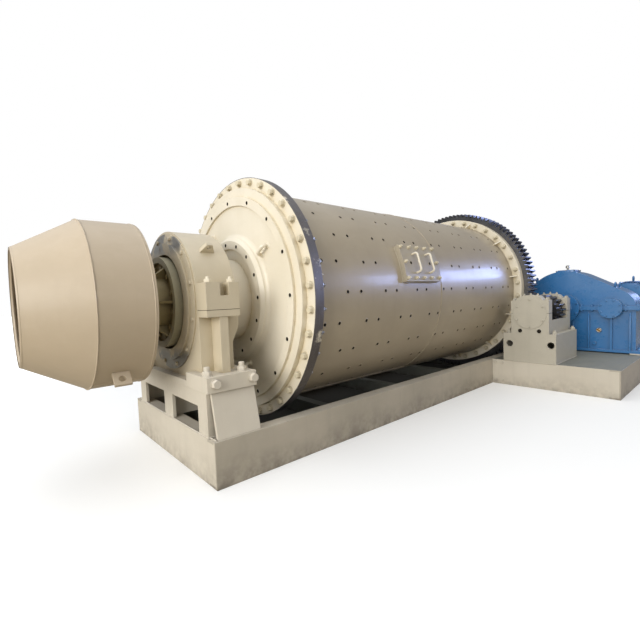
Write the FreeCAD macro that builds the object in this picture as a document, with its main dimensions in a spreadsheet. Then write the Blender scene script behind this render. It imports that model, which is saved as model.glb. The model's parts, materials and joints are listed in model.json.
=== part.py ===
import FreeCAD, Part
import math
import os
import Sketcher
from FreeCAD import Placement, Rotation, Vector

# Ball mill with a drum feeder, a girth gear drive and its base frame.
# Millimetres. X runs along the mill axis from the feed end (-X) to the drive
# end (+X), -Y is the drive side and Z is up. The origin is on the underside
# of the base, below the middle of the shell.

doc = FreeCAD.newDocument("BallMill")

SIZES = [
    # mill drum
    ("floor_gap", 140), ("shell_length", 2900), ("shell_bore", 750), ("shell_wall", 16),
    ("flange_radius", 850), ("shell_flange_thick", 32), ("gusset_length", 75), ("gusset_gap", 22),
    ("gusset_thick", 12), ("gusset_count", 12), ("gusset_phase", 9.5),
    # heads, measured outward from the end of the shell
    ("head_flange_thick", 33), ("head_wall_gap", 75), ("head_wall_out", 69),
    ("head_groove_radius", 715), ("head_ring_out", 88), ("head_ring_inner", 657),
    ("head_disc_out", 73), ("head_hollow", 20), ("head_hollow_slope", 15),
    ("lug_inner", 480), ("lug_outer", 565), ("lug_rise", 46), ("lug_thick", 22), ("lug_hole", 13),
    # trunnions
    ("journal_radius", 283), ("trunnion_wall", 68), ("trunnion_end", 615), ("end_rim", 36),
    ("pocket_depth", 40), ("hub_reach", 153), ("hub_edge_out", 101), ("hub_out", 123),
    ("hub_bevel", 22), ("hub_recess_reach", 75), ("hub_recess", 15), ("fit", 0.05),
    # drum feeder
    ("neck_inset", 45), ("neck_wall", 12), ("neck_flange", 20), ("neck_gap", 153),
    ("web_count", 6), ("web_thick", 14), ("web_inset", 7), ("web_foot", 17), ("web_run", 95),
    ("feeder_radius", 469), ("feeder_plate", 12), ("feeder_width", 267), ("cone_length", 284),
    ("mouth_radius", 306), ("feeder_lug_start", 108), ("feeder_lug_length", 84),
    ("feeder_lug_rise", 78), ("feeder_lug_thick", 16), ("feeder_lug_hole", 18),
    ("feeder_lug_angle", -50),
    # manhole, with angles up from the drive side
    ("manhole_start", -548), ("manhole_end", -85), ("manhole_low", 5.9), ("manhole_high", 26.9),
    ("manhole_frame_rise", 24), ("manhole_cover_thick", 16), ("manhole_rim", 50),
    ("manhole_rim_angle", 3.6), ("handle_rod", 8), ("handle_rise", 46), ("handle_low", 10.7),
    ("handle_high", 21.2), ("handle_first", -408), ("handle_second", -234), ("handle_bend", 20),
    # main bearings, measured outward from the end of the shell
    ("housing_in", 308), ("housing_out", 552), ("housing_foot_in", 351), ("housing_flank", 6),
    ("step_low_drop", 250), ("step_high_drop", 157), ("bush_wall", 57), ("split_drop", 53),
    ("cap_wall", 104), ("ear_reach", 110), ("ear_length", 199), ("ear_top", 98),
    ("ear_below", 39), ("notch_start", 84), ("notch_width", 52), ("notch_depth", 73),
    ("notch_in", 60), ("rib_start", 74), ("rib_thick", 50), ("rib_setback", 5),
    ("bush_inset", 22), ("seal_gap", 17), ("seal_plate", 8), ("seal_plate_inset", 16),
    ("seal_ring", 22), ("seal_ring_width", 71), ("eye_angle", 41), ("eye_rise", 58),
    ("eye_foot", 46), ("eye_head", 17), ("eye_thick", 22), ("eye_hole", 11),
    # sole plates and stands
    ("sole_in", 305), ("sole_out", 602), ("sole_margin", 60), ("sole_drop", 490),
    ("sole_thick", 85), ("sole_seat_inset", 105), ("sole_seat_depth", 48), ("seat_clearance", 1),
    ("stand_in", 313), ("stand_out", 593), ("stand_setback", 40), ("stand_plate", 20),
    ("window_near", 72), ("window_margin", 117), ("window_rail", 90), ("brace_in", 313),
    ("brace_out", 573), ("brace_thick", 20), ("brace_landing", 15),
    # base frame
    ("base_drop", 736), ("base_out", 601), ("base_clearance", 14), ("beam_flange", 90),
    ("beam_web", 10), ("beam_flange_thick", 14), ("low_beam_clearance", 20),
    ("low_beam_pitch", 900), ("stand_beam_out", 270), ("stand_beam_width", 80),
    # girth gear and pinion
    ("gear_module", 16), ("gear_rise", 62), ("pinion_teeth", 19), ("pressure_angle", 20),
    ("gear_face", 160), ("pinion_face", 168), ("rim_thick", 46), ("gear_flange_gap", 10),
    ("gear_flange_thick", 34), ("backlash", 1.2), ("pinion_drop", 250),
    # pinion shaft, its bearings and its stand, with heights from the shaft
    ("pinion_shaft_radius", 60), ("block_length", 90), ("front_gap", 272), ("rear_gap", 12),
    ("block_side", 5), ("shoulder_rise", 128), ("dome_foot_rise", 168), ("block_rise", 179),
    ("shoulder_width", 48), ("dome_slope", 37), ("block_foot", 33), ("plate_thick", 31),
    ("drain_radius", 22), ("drain_spread", 87), ("drain_rise", 27), ("drain_depth", 30),
    ("shaft_cover_radius", 152), ("shaft_cover_thick", 4), ("trough_wall", 12),
    ("trough_drop", 70), ("stand_margin_in", 79), ("stand_margin_out", 60),
    ("pinion_stand_plate", 22), ("stand_hole_radius", 32), ("stand_hole_drop", 75),
    ("stand_hole_spread", 189), ("gear_gap", 24), ("rail_drop", 41),
    # drive base
    ("drive_flange", 80), ("deck_thick", 6), ("second_beam_back", 100),
    ("beam_inset", 25), ("drive_tail", 167), ("drive_margin", 20),
    # low-speed coupling
    ("coupling_radius", 128), ("coupling_hub_radius", 92), ("coupling_disc", 38),
    ("coupling_gap", 5), ("coupling_lead", 36), ("coupling_length", 301),
    ("output_shaft_radius", 60),
    # reducer
    ("reducer_width", 400), ("reducer_drop", 474), ("reducer_hump", 425),
    ("reducer_centres", 451), ("reducer_nose", 205), ("reducer_case_inset", 25),
    ("reducer_rim", 22), ("reducer_foot_thick", 28), ("reducer_foot_out", 45),
    ("bearing_cover_radius", 165), ("input_cover_radius", 105), ("cover_thick", 24),
    ("input_cover_thick", 60), ("reducer_rib", 20), ("input_shaft_radius", 35),
    # motor, its pedestal and the guard of the high-speed coupling
    ("motor_gap", 385), ("motor_length", 760), ("motor_radius", 262), ("motor_cover", 60),
    ("motor_cover_radius", 248), ("cowl_length", 120), ("cowl_radius", 268),
    ("motor_shaft_radius", 40), ("motor_foot_half", 228), ("motor_foot_width", 80),
    ("motor_foot_thick", 32), ("motor_axis_rise", 280), ("terminal_length", 260),
    ("terminal_depth", 110), ("terminal_height", 200), ("pedestal_half", 268),
    ("pedestal_plate", 25), ("guard_radius", 150), ("guard_plate", 5), ("guard_gap", 12),
    ("guard_foot", 45), ("sleeve_radius", 105),
]


class Size:
    # A length kept both as an expression on the sheet and as its present number.
    def __init__(self, text, number):
        self.text = text
        self.number = float(number)

    def __add__(self, other):
        other = as_size(other)
        return Size(f"({self.text} + {other.text})", self.number + other.number)

    def __sub__(self, other):
        other = as_size(other)
        return Size(f"({self.text} - {other.text})", self.number - other.number)

    def __mul__(self, other):
        other = as_size(other)
        return Size(f"({self.text} * {other.text})", self.number * other.number)

    def __truediv__(self, other):
        other = as_size(other)
        return Size(f"({self.text} / {other.text})", self.number / other.number)

    def __radd__(self, other):
        return as_size(other) + self

    def __rsub__(self, other):
        return as_size(other) - self

    def __rmul__(self, other):
        return as_size(other) * self

    def __neg__(self):
        return Size(f"(0 - {self.text})", -self.number)

    def __float__(self):
        return self.number

    def root(self):
        return Size(f"sqrt({self.text})", math.sqrt(self.number))

    def rounded(self):
        return Size(f"round({self.text})", math.floor(self.number + 0.5))


def as_size(value):
    if isinstance(value, Size):
        return value
    return Size(f"({float(value):.6f})", value)


def ordered(first, second):
    # the two ends of a span, lower one first
    first, second = as_size(first), as_size(second)
    return (first, second) if first.number < second.number else (second, first)


class Sheet:
    # The driving sizes: one cell each, read back as attributes.
    def __init__(self, rows):
        table = doc.addObject("Spreadsheet::Sheet", "Sizes")
        for row, (alias, value) in enumerate(rows, 1):
            table.set(f"A{row}", alias)
            table.set(f"B{row}", str(value))
            table.setAlias(f"B{row}", alias)
            setattr(self, alias, Size(f"Sizes.{alias}", value))


s = Sheet(SIZES)
doc.recompute()
nodes = {}


def keep(name, item):
    # a finished sub-part under its own name
    item.Label = name
    nodes[name] = item
    return item


def bind(item, prop, value):
    item.setExpression(prop, as_size(value).text)


def place(item, x=None, y=None, z=None):
    for letter, value in (("x", x), ("y", y), ("z", z)):
        if value is not None:
            bind(item, "Placement.Base." + letter, value)
    return item


def box(name, x, y, z):
    item = doc.addObject("Part::Box", name)
    spans = [ordered(*span) for span in (x, y, z)]
    for prop, (low, high) in zip(("Length", "Width", "Height"), spans):
        bind(item, prop, high - low)
    return place(item, spans[0][0], spans[1][0], spans[2][0])


def rod(name, radius, x, y, z):
    # a cylinder along X
    low, high = ordered(*x)
    item = doc.addObject("Part::Cylinder", name)
    bind(item, "Radius", radius)
    bind(item, "Height", high - low)
    item.Placement = Placement(Vector(), Rotation(Vector(0, 1, 0), 90))
    return place(item, low, y, z)


def fuse(name, parts):
    item = doc.addObject("Part::MultiFuse", name)
    item.Shapes = parts
    item.Refine = True
    return item


def cut(name, base, tool):
    item = doc.addObject("Part::Cut", name)
    item.Base = base
    item.Tool = tool
    return item


def group(name, parts):
    item = doc.addObject("Part::Compound", name)
    item.Links = parts
    return item


def outline(sketch, points, circles=()):
    # a closed polygon whose corners, and circles whose centres and radii, follow the sheet
    numbers = [(as_size(x), as_size(y)) for x, y in points]
    count = len(numbers)
    for index in range(count):
        start, end = numbers[index], numbers[(index + 1) % count]
        sketch.addGeometry(Part.LineSegment(Vector(float(start[0]), float(start[1]), 0),
                                            Vector(float(end[0]), float(end[1]), 0)))
    ties = [Sketcher.Constraint("Coincident", index, 2, (index + 1) % count, 1)
            for index in range(count)]
    sketch.addConstraint(ties)
    for index, (x, y) in enumerate(numbers):
        hold(sketch, index, 1, x, y)
    for x, y, radius in circles:
        x, y, radius = as_size(x), as_size(y), as_size(radius)
        index = sketch.addGeometry(Part.Circle(Vector(float(x), float(y), 0), Vector(0, 0, 1),
                                               float(radius)))
        hold(sketch, index, 3, x, y)
        held = sketch.addConstraint(Sketcher.Constraint("Radius", index, float(radius)))
        sketch.setExpression(f"Constraints[{held}]", radius.text)


def hold(sketch, index, point, x, y):
    # one point of a sketch kept at x, y from the sketch's origin
    for kind, value in (("DistanceX", x), ("DistanceY", y)):
        held = sketch.addConstraint(Sketcher.Constraint(kind, -1, 1, index, point, float(value)))
        sketch.setExpression(f"Constraints[{held}]", value.text)


def new_body(name):
    return doc.addObject("PartDesign::Body", name)


def new_sketch(body, name, plane, offset=None):
    sketch = body.newObject("Sketcher::SketchObject", name)
    role = plane + "_Plane"
    flat = [item for item in body.Origin.OriginFeatures if item.Role == role][0]
    sketch.AttachmentSupport = (flat, [""])
    sketch.MapMode = "FlatFace"
    if offset is not None:
        bind(sketch, "AttachmentOffset.Base.z", offset)
    return sketch


def turned(name, points):
    # a solid of revolution about the mill axis, from (x, radius) corners
    body = new_body(name)
    sketch = new_sketch(body, name + "Profile", "XZ")
    outline(sketch, points)
    spin = body.newObject("PartDesign::Revolution", name + "Turn")
    spin.Profile = sketch
    spin.ReferenceAxis = (sketch, ["H_Axis"])
    spin.Angle = 360
    return place(body, z=axis_height)


def slab_x(name, points, x, circles=()):
    # (y, z) corners padded along X
    low, high = ordered(*x)
    body = new_body(name)
    sketch = new_sketch(body, name + "Profile", "YZ", low)
    outline(sketch, points, circles)
    pad = body.newObject("PartDesign::Pad", name + "Pad")
    pad.Profile = sketch
    bind(pad, "Length", high - low)
    return body


def slab_y(name, points, half):
    # (x, z) corners padded the same distance to both sides of Y = 0
    body = new_body(name)
    sketch = new_sketch(body, name + "Profile", "XZ")
    outline(sketch, points)
    pad = body.newObject("PartDesign::Pad", name + "Pad")
    pad.Profile = sketch
    pad.Midplane = True
    bind(pad, "Length", 2 * as_size(half))
    return body


def fin(name, points, thickness, angle, circles=()):
    # a radial plate on the mill axis from (x, radius) corners, turned up from the drive side
    body = new_body(name)
    sketch = new_sketch(body, name + "Profile", "XZ")
    outline(sketch, points, circles)
    pad = body.newObject("PartDesign::Pad", name + "Pad")
    pad.Profile = sketch
    pad.Midplane = True
    bind(pad, "Length", thickness)
    body.Placement = Placement(Vector(), Rotation(Vector(1, 0, 0), 90 - float(angle)))
    return place(body, z=axis_height)


def sector(name, outer, inner, x, low, high):
    # part of a tube about the mill axis, between two angles up from the drive side
    start = math.radians(float(high))
    across = Vector(0, -math.cos(start), math.sin(start))
    turn = Rotation(across, Vector(), Vector(1, 0, 0), "ZXY")
    pieces = []
    for suffix, radius in (("Outer", outer), ("Inner", inner)):
        item = doc.addObject("Part::Cylinder", name + suffix)
        bind(item, "Radius", radius)
        bind(item, "Height", x[1] - x[0])
        if suffix == "Outer":
            bind(item, "Angle", high - low)
        item.Placement = Placement(Vector(), turn)
        place(item, x[0], 0, axis_height)
        pieces.append(item)
    return cut(name, *pieces)


# sizes that follow from the driving ones

half_shell = s.shell_length / 2
axis_height = s.flange_radius + s.floor_gap
base_height = axis_height - s.base_drop
shell_radius = s.shell_bore + s.shell_wall
head_wall_radius = s.flange_radius - s.head_wall_gap
trunnion_bore = s.journal_radius - s.trunnion_wall
pocket_radius = s.journal_radius - s.end_rim
hub_radius = s.journal_radius + s.hub_reach
recess_radius = s.journal_radius + s.hub_recess_reach
web_top = pocket_radius - s.web_inset
neck_radius = trunnion_bore - s.neck_inset
housing_bore = s.journal_radius + s.bush_wall
cap_radius = housing_bore + s.cap_wall
housing_half = cap_radius + s.housing_flank
ear_half = housing_half + s.ear_reach
sole_half = ear_half + s.sole_margin
sole_seat_half = housing_half - s.sole_seat_inset
sole_low = axis_height - s.sole_drop
sole_top = sole_low + s.sole_thick
split_z = axis_height - s.split_drop
stand_half = sole_half - s.stand_setback
base_half_length = half_shell + s.base_out
ENDS = (("feed", -1), ("discharge", 1))


def out(side, distance):
    # a place along X, measured outward from one end of the shell
    return side * (half_shell + distance)


# ---- mill drum ----

def make_shell():
    skin = rod("ShellSkin", shell_radius, (-half_shell, half_shell), 0, axis_height)
    hollow = rod("ShellHollow", s.shell_bore, (-half_shell, half_shell), 0, axis_height)
    port = sector("ShellPort", shell_radius + s.manhole_rim, s.shell_bore - s.manhole_rim,
                  (s.manhole_start + s.manhole_rim, s.manhole_end - s.manhole_rim),
                  s.manhole_low + s.manhole_rim_angle, s.manhole_high - s.manhole_rim_angle)
    keep("shell", cut("Shell", cut("ShellTube", skin, hollow), port))


def make_shell_flanges():
    rings = []
    for end, side in ENDS:
        near, far = out(side, 0), out(side, -s.shell_flange_thick)
        corners = [(near, shell_radius), (near, s.flange_radius), (far, s.flange_radius),
                   (far, shell_radius)]
        rings.append(turned(f"ShellFlange{end}", corners))
    keep("shell_flanges", group("ShellFlanges", rings))


def make_gussets():
    fins = []
    count = int(float(s.gusset_count))
    for end, side in ENDS:
        root = out(side, -s.shell_flange_thick)
        tip = out(side, -s.shell_flange_thick - s.gusset_length)
        low = shell_radius + s.fit
        corners = [(root, low), (root, s.flange_radius - s.gusset_gap), (tip, low + s.gusset_gap / 2),
                   (tip, low)]
        for index in range(count):
            angle = s.gusset_phase + 360 * index / count
            fins.append(fin(f"Gusset{end}{index}", corners, s.gusset_thick, angle))
    keep("flange_gussets", group("Gussets", fins))


def make_head(end, side):
    bore = s.journal_radius + s.fit
    corners = [
        (0, s.shell_bore), (0, s.flange_radius), (s.head_flange_thick, s.flange_radius),
        (s.head_flange_thick, head_wall_radius), (s.head_wall_out, head_wall_radius),
        (s.head_wall_out, s.head_groove_radius), (s.head_ring_out, s.head_groove_radius),
        (s.head_ring_out, s.head_ring_inner), (s.head_disc_out, s.head_ring_inner),
        (s.head_disc_out, bore), (s.head_hollow, bore),
        (s.head_hollow, s.shell_bore - s.head_hollow_slope),
    ]
    keep(f"{end}_head", turned(f"Head{end}", [(out(side, u), radius) for u, radius in corners]))


def make_head_lugs():
    middle = (s.lug_inner + s.lug_outer) / 2
    bevel = s.lug_rise / 3
    fins = []
    for end, side in ENDS:
        foot, top = out(side, s.head_disc_out), out(side, s.head_disc_out + s.lug_rise)
        neck = out(side, s.head_disc_out + s.lug_rise - bevel)
        corners = [(foot, s.lug_inner), (foot, s.lug_outer), (neck, s.lug_outer),
                   (top, s.lug_outer - bevel), (top, s.lug_inner + bevel), (neck, s.lug_inner)]
        eye = (out(side, s.head_disc_out + s.lug_rise / 2), middle, s.lug_hole)
        for index, angle in enumerate((42, 120, 210, 291)):
            fins.append(fin(f"HeadLug{end}{index}", corners, s.lug_thick, angle, [eye]))
    keep("head_lifting_lugs", group("HeadLugs", fins))


def make_trunnion(end, side):
    pocket_floor = s.trunnion_end - s.pocket_depth
    corners = [
        (s.head_hollow, trunnion_bore), (s.head_hollow, s.journal_radius),
        (s.head_disc_out, s.journal_radius), (s.head_disc_out, hub_radius),
        (s.hub_edge_out, hub_radius), (s.hub_out, hub_radius - s.hub_bevel),
        (s.hub_out, recess_radius), (s.hub_out - s.hub_recess, recess_radius),
        (s.hub_out - s.hub_recess, s.journal_radius), (s.trunnion_end, s.journal_radius),
        (s.trunnion_end, pocket_radius), (pocket_floor, pocket_radius),
        (pocket_floor, trunnion_bore),
    ]
    corners = [(out(side, u), radius) for u, radius in corners]
    keep(f"{end}_trunnion", turned(f"Trunnion{end}", corners))


# the drum feeder hangs on a neck that is bolted into the pocket of the feed trunnion

neck_start = s.trunnion_end - s.pocket_depth
plate_out = s.trunnion_end + s.neck_gap
drum_start = plate_out + s.feeder_plate
drum_end = drum_start + s.feeder_width
mouth_out = drum_end + s.cone_length


def make_feeder_neck():
    inner = neck_radius - s.neck_wall
    flange_top = neck_start + s.neck_flange
    corners = [(neck_start, inner), (neck_start, pocket_radius - s.seat_clearance / 2),
               (flange_top, pocket_radius - s.seat_clearance / 2), (flange_top, neck_radius),
               (drum_start, neck_radius), (drum_start, inner)]
    body = turned("FeederNeck", [(out(-1, u), radius) for u, radius in corners])
    sketch = new_sketch(body, "FeederNeckWebProfile", "XZ")
    buried = neck_radius - s.neck_wall / 2
    web = [(neck_start + s.neck_flange / 2, buried), (neck_start + s.neck_flange / 2, web_top),
           (flange_top + s.web_foot, web_top), (flange_top + s.web_run, buried)]
    outline(sketch, [(out(-1, u), radius) for u, radius in web])
    pad = body.newObject("PartDesign::Pad", "FeederNeckWeb")
    pad.Profile = sketch
    pad.Midplane = True
    bind(pad, "Length", s.web_thick)
    ring = body.newObject("PartDesign::PolarPattern", "FeederNeckWebs")
    ring.Originals = [pad]
    ring.Axis = (sketch, ["H_Axis"])
    ring.Angle = 360
    ring.setExpression("Occurrences", s.web_count.text)
    body.Tip = ring
    body.Placement = Placement(Vector(), Rotation(Vector(1, 0, 0), 90))
    keep("feeder_neck", place(body, z=axis_height))


def make_feeder():
    skin = s.feeder_radius - s.feeder_plate
    plate = [(plate_out, neck_radius + s.fit), (plate_out, s.feeder_radius),
             (drum_start, s.feeder_radius), (drum_start, neck_radius + s.fit)]
    drum = [(drum_start, skin), (drum_start, s.feeder_radius), (drum_end, s.feeder_radius),
            (drum_end, skin)]
    cone = [(drum_end, skin), (drum_end, s.feeder_radius), (mouth_out, s.mouth_radius),
            (mouth_out, s.mouth_radius - s.feeder_plate)]
    for name, corners in (("feeder_back_plate", plate), ("feeder_cylinder", drum),
                          ("feeder_cone", cone)):
        corners = [(out(-1, u), radius) for u, radius in corners]
        keep(name, turned(name.title().replace("_", ""), corners))


def make_feeder_lug():
    start = drum_start + s.feeder_lug_start
    end = start + s.feeder_lug_length
    low = s.feeder_radius + s.fit
    top = low + s.feeder_lug_rise
    corners = [(start, low), (start, top), (end, top), (end, low)]
    eye = (out(-1, (start + end) / 2), top - s.feeder_lug_hole * 2, s.feeder_lug_hole)
    body = fin("FeederLug", [(out(-1, u), radius) for u, radius in corners], s.feeder_lug_thick,
               s.feeder_lug_angle, [eye])
    keep("feeder_lug", body)


def make_manhole():
    span = (s.manhole_start, s.manhole_end)
    inner_span = (s.manhole_start + s.manhole_rim, s.manhole_end - s.manhole_rim)
    top = shell_radius + s.manhole_frame_rise
    ring = sector("ManholeRing", top, shell_radius, span, s.manhole_low, s.manhole_high)
    port = sector("ManholePort", top + s.manhole_rim, shell_radius - s.manhole_rim, inner_span,
                  s.manhole_low + s.manhole_rim_angle, s.manhole_high - s.manhole_rim_angle)
    keep("manhole_frame", cut("ManholeFrame", ring, port))
    keep("manhole_cover", sector("ManholeCover", top + s.manhole_cover_thick, top, span,
                                 s.manhole_low, s.manhole_high))


def make_handles():
    # each handle is a bent round bar standing on the manhole cover
    top = float(shell_radius + s.manhole_frame_rise + s.manhole_cover_thick)
    rise, bend = float(s.handle_rise), float(s.handle_bend)
    low, high = math.radians(float(s.handle_low)), math.radians(float(s.handle_high))
    middle = (low + high) / 2
    axis = Vector(0, 0, float(axis_height))
    outward = Vector(0, -math.cos(middle), math.sin(middle))
    upward = Vector(0, math.sin(middle), math.cos(middle))
    half = top * math.sin((high - low) / 2)
    foot = top * math.cos((high - low) / 2) - float(s.handle_rod)
    grip = foot + rise + float(s.handle_rod)
    turn = bend * (1 - math.sqrt(0.5))
    bars = []
    for x in (s.handle_first, s.handle_second):
        def at(up, over, x=float(x)):
            return Vector(x, 0, 0) + axis + upward * up + outward * over
        path = Part.Wire([
            Part.LineSegment(at(-half, foot), at(-half, grip - bend)).toShape(),
            Part.Arc(at(-half, grip - bend), at(-half + turn, grip - turn),
                     at(-half + bend, grip)).toShape(),
            Part.LineSegment(at(-half + bend, grip), at(half - bend, grip)).toShape(),
            Part.Arc(at(half - bend, grip), at(half - turn, grip - turn),
                     at(half, grip - bend)).toShape(),
            Part.LineSegment(at(half, grip - bend), at(half, foot)).toShape(),
        ])
        rim = Part.Wire(Part.makeCircle(float(s.handle_rod), at(-half, foot), outward))
        bars.append(path.makePipeShell([rim], True, True))
    below = Part.makeCylinder(top + float(s.fit), float(s.shell_length), Vector(
        -float(half_shell), 0, float(axis_height)), Vector(1, 0, 0))
    item = doc.addObject("Part::Feature", "ManholeHandles")
    item.Shape = Part.makeCompound([bar.cut(below) for bar in bars])
    keep("manhole_handles", item)


# ---- girth gear and pinion ----

gear_teeth = (2 * (s.flange_radius + s.gear_rise) / s.gear_module).rounded()
gear_tip = s.gear_module * (gear_teeth / 2 + 1)
centres = s.gear_module * (gear_teeth + s.pinion_teeth) / 2
pinion_y = -(centres * centres - s.pinion_drop * s.pinion_drop).root()
pinion_z = axis_height - s.pinion_drop
gear_start = s.head_flange_thick
gear_end = gear_start + s.gear_face


def gear_outline(teeth, aim, on_tooth):
    # Involute teeth about the X axis at the origin. Each flank is an arc through three points
    # of the involute, and below the base circle it is a radial line. One tooth, or one gap,
    # points along the angle aim in the Y-Z plane.
    module, slope = float(s.gear_module), math.radians(float(s.pressure_angle))
    pitch = module * teeth / 2
    base = pitch * math.cos(slope)
    tip, root = pitch + module, pitch - 1.25 * module
    start = max(base, root)

    def half_angle(radius):
        roll = math.acos(min(1, base / radius))
        spread = (math.tan(slope) - slope) - (math.tan(roll) - roll)
        return math.pi / (2 * teeth) - float(s.backlash) / (4 * pitch) + spread

    def at(radius, angle):
        return Vector(0, radius * math.cos(angle), radius * math.sin(angle))

    step = 2 * math.pi / teeth
    edges = []
    for index in range(teeth):
        centre = aim + (index if on_tooth else index + 0.5) * step
        radii = (start, (start + tip) / 2, tip)
        rising = [at(radius, centre - half_angle(radius)) for radius in radii]
        falling = [at(radius, centre + half_angle(radius)) for radius in reversed(radii)]
        gap = [at(root, centre + half_angle(start)), at(root, centre + step / 2),
               at(root, centre + step - half_angle(start))]
        edges.append(Part.Arc(*rising).toShape())
        edges.append(Part.Arc(rising[2], at(tip, centre), falling[0]).toShape())
        edges.append(Part.Arc(*falling).toShape())
        if base > root:
            edges.append(Part.LineSegment(falling[2], gap[0]).toShape())
        edges.append(Part.Arc(*gap).toShape())
        if base > root:
            following = at(start, centre + step - half_angle(start))
            edges.append(Part.LineSegment(gap[2], following).toShape())
    return Part.Face(Part.Wire(edges))


def disc_x(radius, start, end):
    return Part.makeCylinder(float(radius), float(end - start), Vector(float(start), 0, 0),
                             Vector(1, 0, 0))


def make_girth_gear():
    aim = math.atan2(-float(s.pinion_drop), float(pinion_y))
    start, end = out(1, gear_start), out(1, gear_end)
    face = gear_outline(int(float(gear_teeth)), aim, True)
    face.translate(Vector(float(start), 0, 0))
    rim = face.extrude(Vector(float(s.gear_face), 0, 0))
    rim_inner = s.gear_module * (gear_teeth / 2 - 1.25) - s.rim_thick
    flange_end = start + s.gear_flange_thick
    solid = rim.cut(disc_x(rim_inner, flange_end, end))
    solid = solid.cut(disc_x(head_wall_radius + s.gear_flange_gap, start, flange_end))
    item = doc.addObject("Part::Feature", "GirthGear")
    item.Shape = solid
    item.Placement = Placement(Vector(0, 0, float(axis_height)), Rotation())
    keep("girth_gear", item)


gear_middle = out(1, (gear_start + gear_end) / 2)
pinion_span = (gear_middle - s.pinion_face / 2, gear_middle + s.pinion_face / 2)
front_end = pinion_span[0] - s.front_gap
front_block = (front_end - s.block_length, front_end)
rear_start = pinion_span[1] + s.rear_gap
pinion_tip = s.gear_module * (s.pinion_teeth / 2 + 1)
block_half = pinion_tip + s.block_side
block_drop = pinion_tip + s.block_foot
rear_block = (rear_start, rear_start + s.block_length)
coupling_start = rear_block[1] + s.coupling_lead
coupling_end = coupling_start + s.coupling_length
hub_split = (coupling_start + coupling_end) / 2
reducer_front = coupling_end + s.coupling_gap + s.cover_thick
input_y = pinion_y - s.reducer_centres
case_span = (reducer_front, reducer_front + s.reducer_width)
case_right = pinion_y + s.reducer_hump
case_left = input_y - s.reducer_nose
motor_front = case_span[1] + s.motor_gap
motor_span = (motor_front, motor_front + s.motor_length)
motor_floor = pinion_z - s.motor_axis_rise
core_span = (motor_span[0] + s.motor_cover, motor_span[1] - s.cowl_length)
pedestal_span = (core_span[0] - s.pedestal_plate, core_span[1] + s.pedestal_plate)

# the base beams stand clear of the gear, which dips between them

gear_reach = axis_height - base_height
base_half_width = ((gear_tip * gear_tip - gear_reach * gear_reach).root() + s.base_clearance
                   + s.beam_flange)
drive_start = front_block[0]
drive_end = motor_span[1] + s.drive_tail
drive_outer = -(case_left - s.reducer_foot_out - s.drive_margin)
stand_end = rear_block[1]


def make_pinion():
    aim = math.atan2(float(s.pinion_drop), -float(pinion_y))
    face = gear_outline(int(float(s.pinion_teeth)), aim, False)
    face.translate(Vector(float(pinion_span[0]), 0, 0))
    solid = face.extrude(Vector(float(s.pinion_face), 0, 0))
    item = doc.addObject("Part::Feature", "Pinion")
    item.Shape = solid.cut(disc_x(s.pinion_shaft_radius + s.fit, *pinion_span))
    item.Placement = Placement(Vector(0, float(pinion_y), float(pinion_z)), Rotation())
    keep("pinion", item)


def make_pinion_shaft():
    start = front_block[0] + s.block_length / 4
    end = hub_split - s.coupling_gap / 2
    shaft = rod("PinionShaft", s.pinion_shaft_radius, (start, end), pinion_y, pinion_z)
    keep("pinion_shaft", shaft)


def make_coupling():
    # two flanged hubs, the far one on the reducer's output shaft
    halves = [(coupling_start, hub_split - s.coupling_gap / 2, -1),
              (hub_split + s.coupling_gap / 2, coupling_end, 1)]
    hubs = []
    for index, (low, high, side) in enumerate(halves):
        disc = (high - s.coupling_disc, high) if side < 0 else (low, low + s.coupling_disc)
        hub = rod(f"CouplingHub{index}", s.coupling_hub_radius, (low, high), pinion_y, pinion_z)
        rim = rod(f"CouplingRim{index}", s.coupling_radius, disc, pinion_y, pinion_z)
        bore_radius = s.pinion_shaft_radius if side < 0 else s.output_shaft_radius
        bore = rod(f"CouplingBore{index}", bore_radius + s.fit, (low, high), pinion_y, pinion_z)
        hubs.append(cut(f"CouplingHalf{index}", fuse(f"CouplingBlank{index}", [hub, rim]), bore))
    keep("low_speed_coupling", group("LowSpeedCoupling", hubs))
    seat = reducer_front + s.cover_thick
    shaft = rod("OutputShaft", s.output_shaft_radius, (hub_split + s.coupling_gap / 2, seat),
                pinion_y, pinion_z)
    keep("reducer_output_shaft", shaft)


# ---- main bearings ----

def bearing_bore(name, side):
    span = (out(side, s.housing_in - s.seal_ring), out(side, s.housing_out + s.seal_ring))
    return rod(name, housing_bore, span, 0, axis_height)


def both_ways(span):
    # the same span on the drive side and on the far side
    return (ordered(-span[0], -span[1]), ordered(*span))


def make_housing(end, side):
    corners = [(s.housing_out, sole_top), (s.housing_foot_in, sole_top),
               (s.housing_foot_in, axis_height - s.step_low_drop),
               (s.housing_in, axis_height - s.step_high_drop),
               (s.housing_in, split_z), (s.housing_out, split_z)]
    tag = "Housing" + end
    block = slab_y(tag + "Block", [(out(side, u), z) for u, z in corners], housing_half)
    seat_half = sole_seat_half - s.seat_clearance
    foot = box(tag + "Foot", (out(side, s.housing_foot_in), out(side, s.housing_out)),
               (-seat_half, seat_half), (sole_top - s.sole_seat_depth, sole_top))
    parts = [block, foot]
    ear_span = (out(side, s.housing_out - s.ear_length), out(side, s.housing_out))
    rib_start = s.housing_out - s.rib_start
    rib_span = (out(side, rib_start - s.rib_thick), out(side, rib_start))
    for index, span in enumerate(both_ways((housing_half - 20, ear_half))):
        parts.append(box(f"{tag}Ear{index}", ear_span, span, (split_z - s.ear_below, split_z)))
    for index, span in enumerate(both_ways((housing_half - 20, ear_half - s.rib_setback))):
        parts.append(box(f"{tag}Rib{index}", rib_span, span, (sole_top, split_z - s.ear_below)))
    blank = fuse(tag + "Blank", parts)
    keep(f"{end}_bearing_housing", cut(tag, blank, bearing_bore(tag + "Bore", side)))


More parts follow.
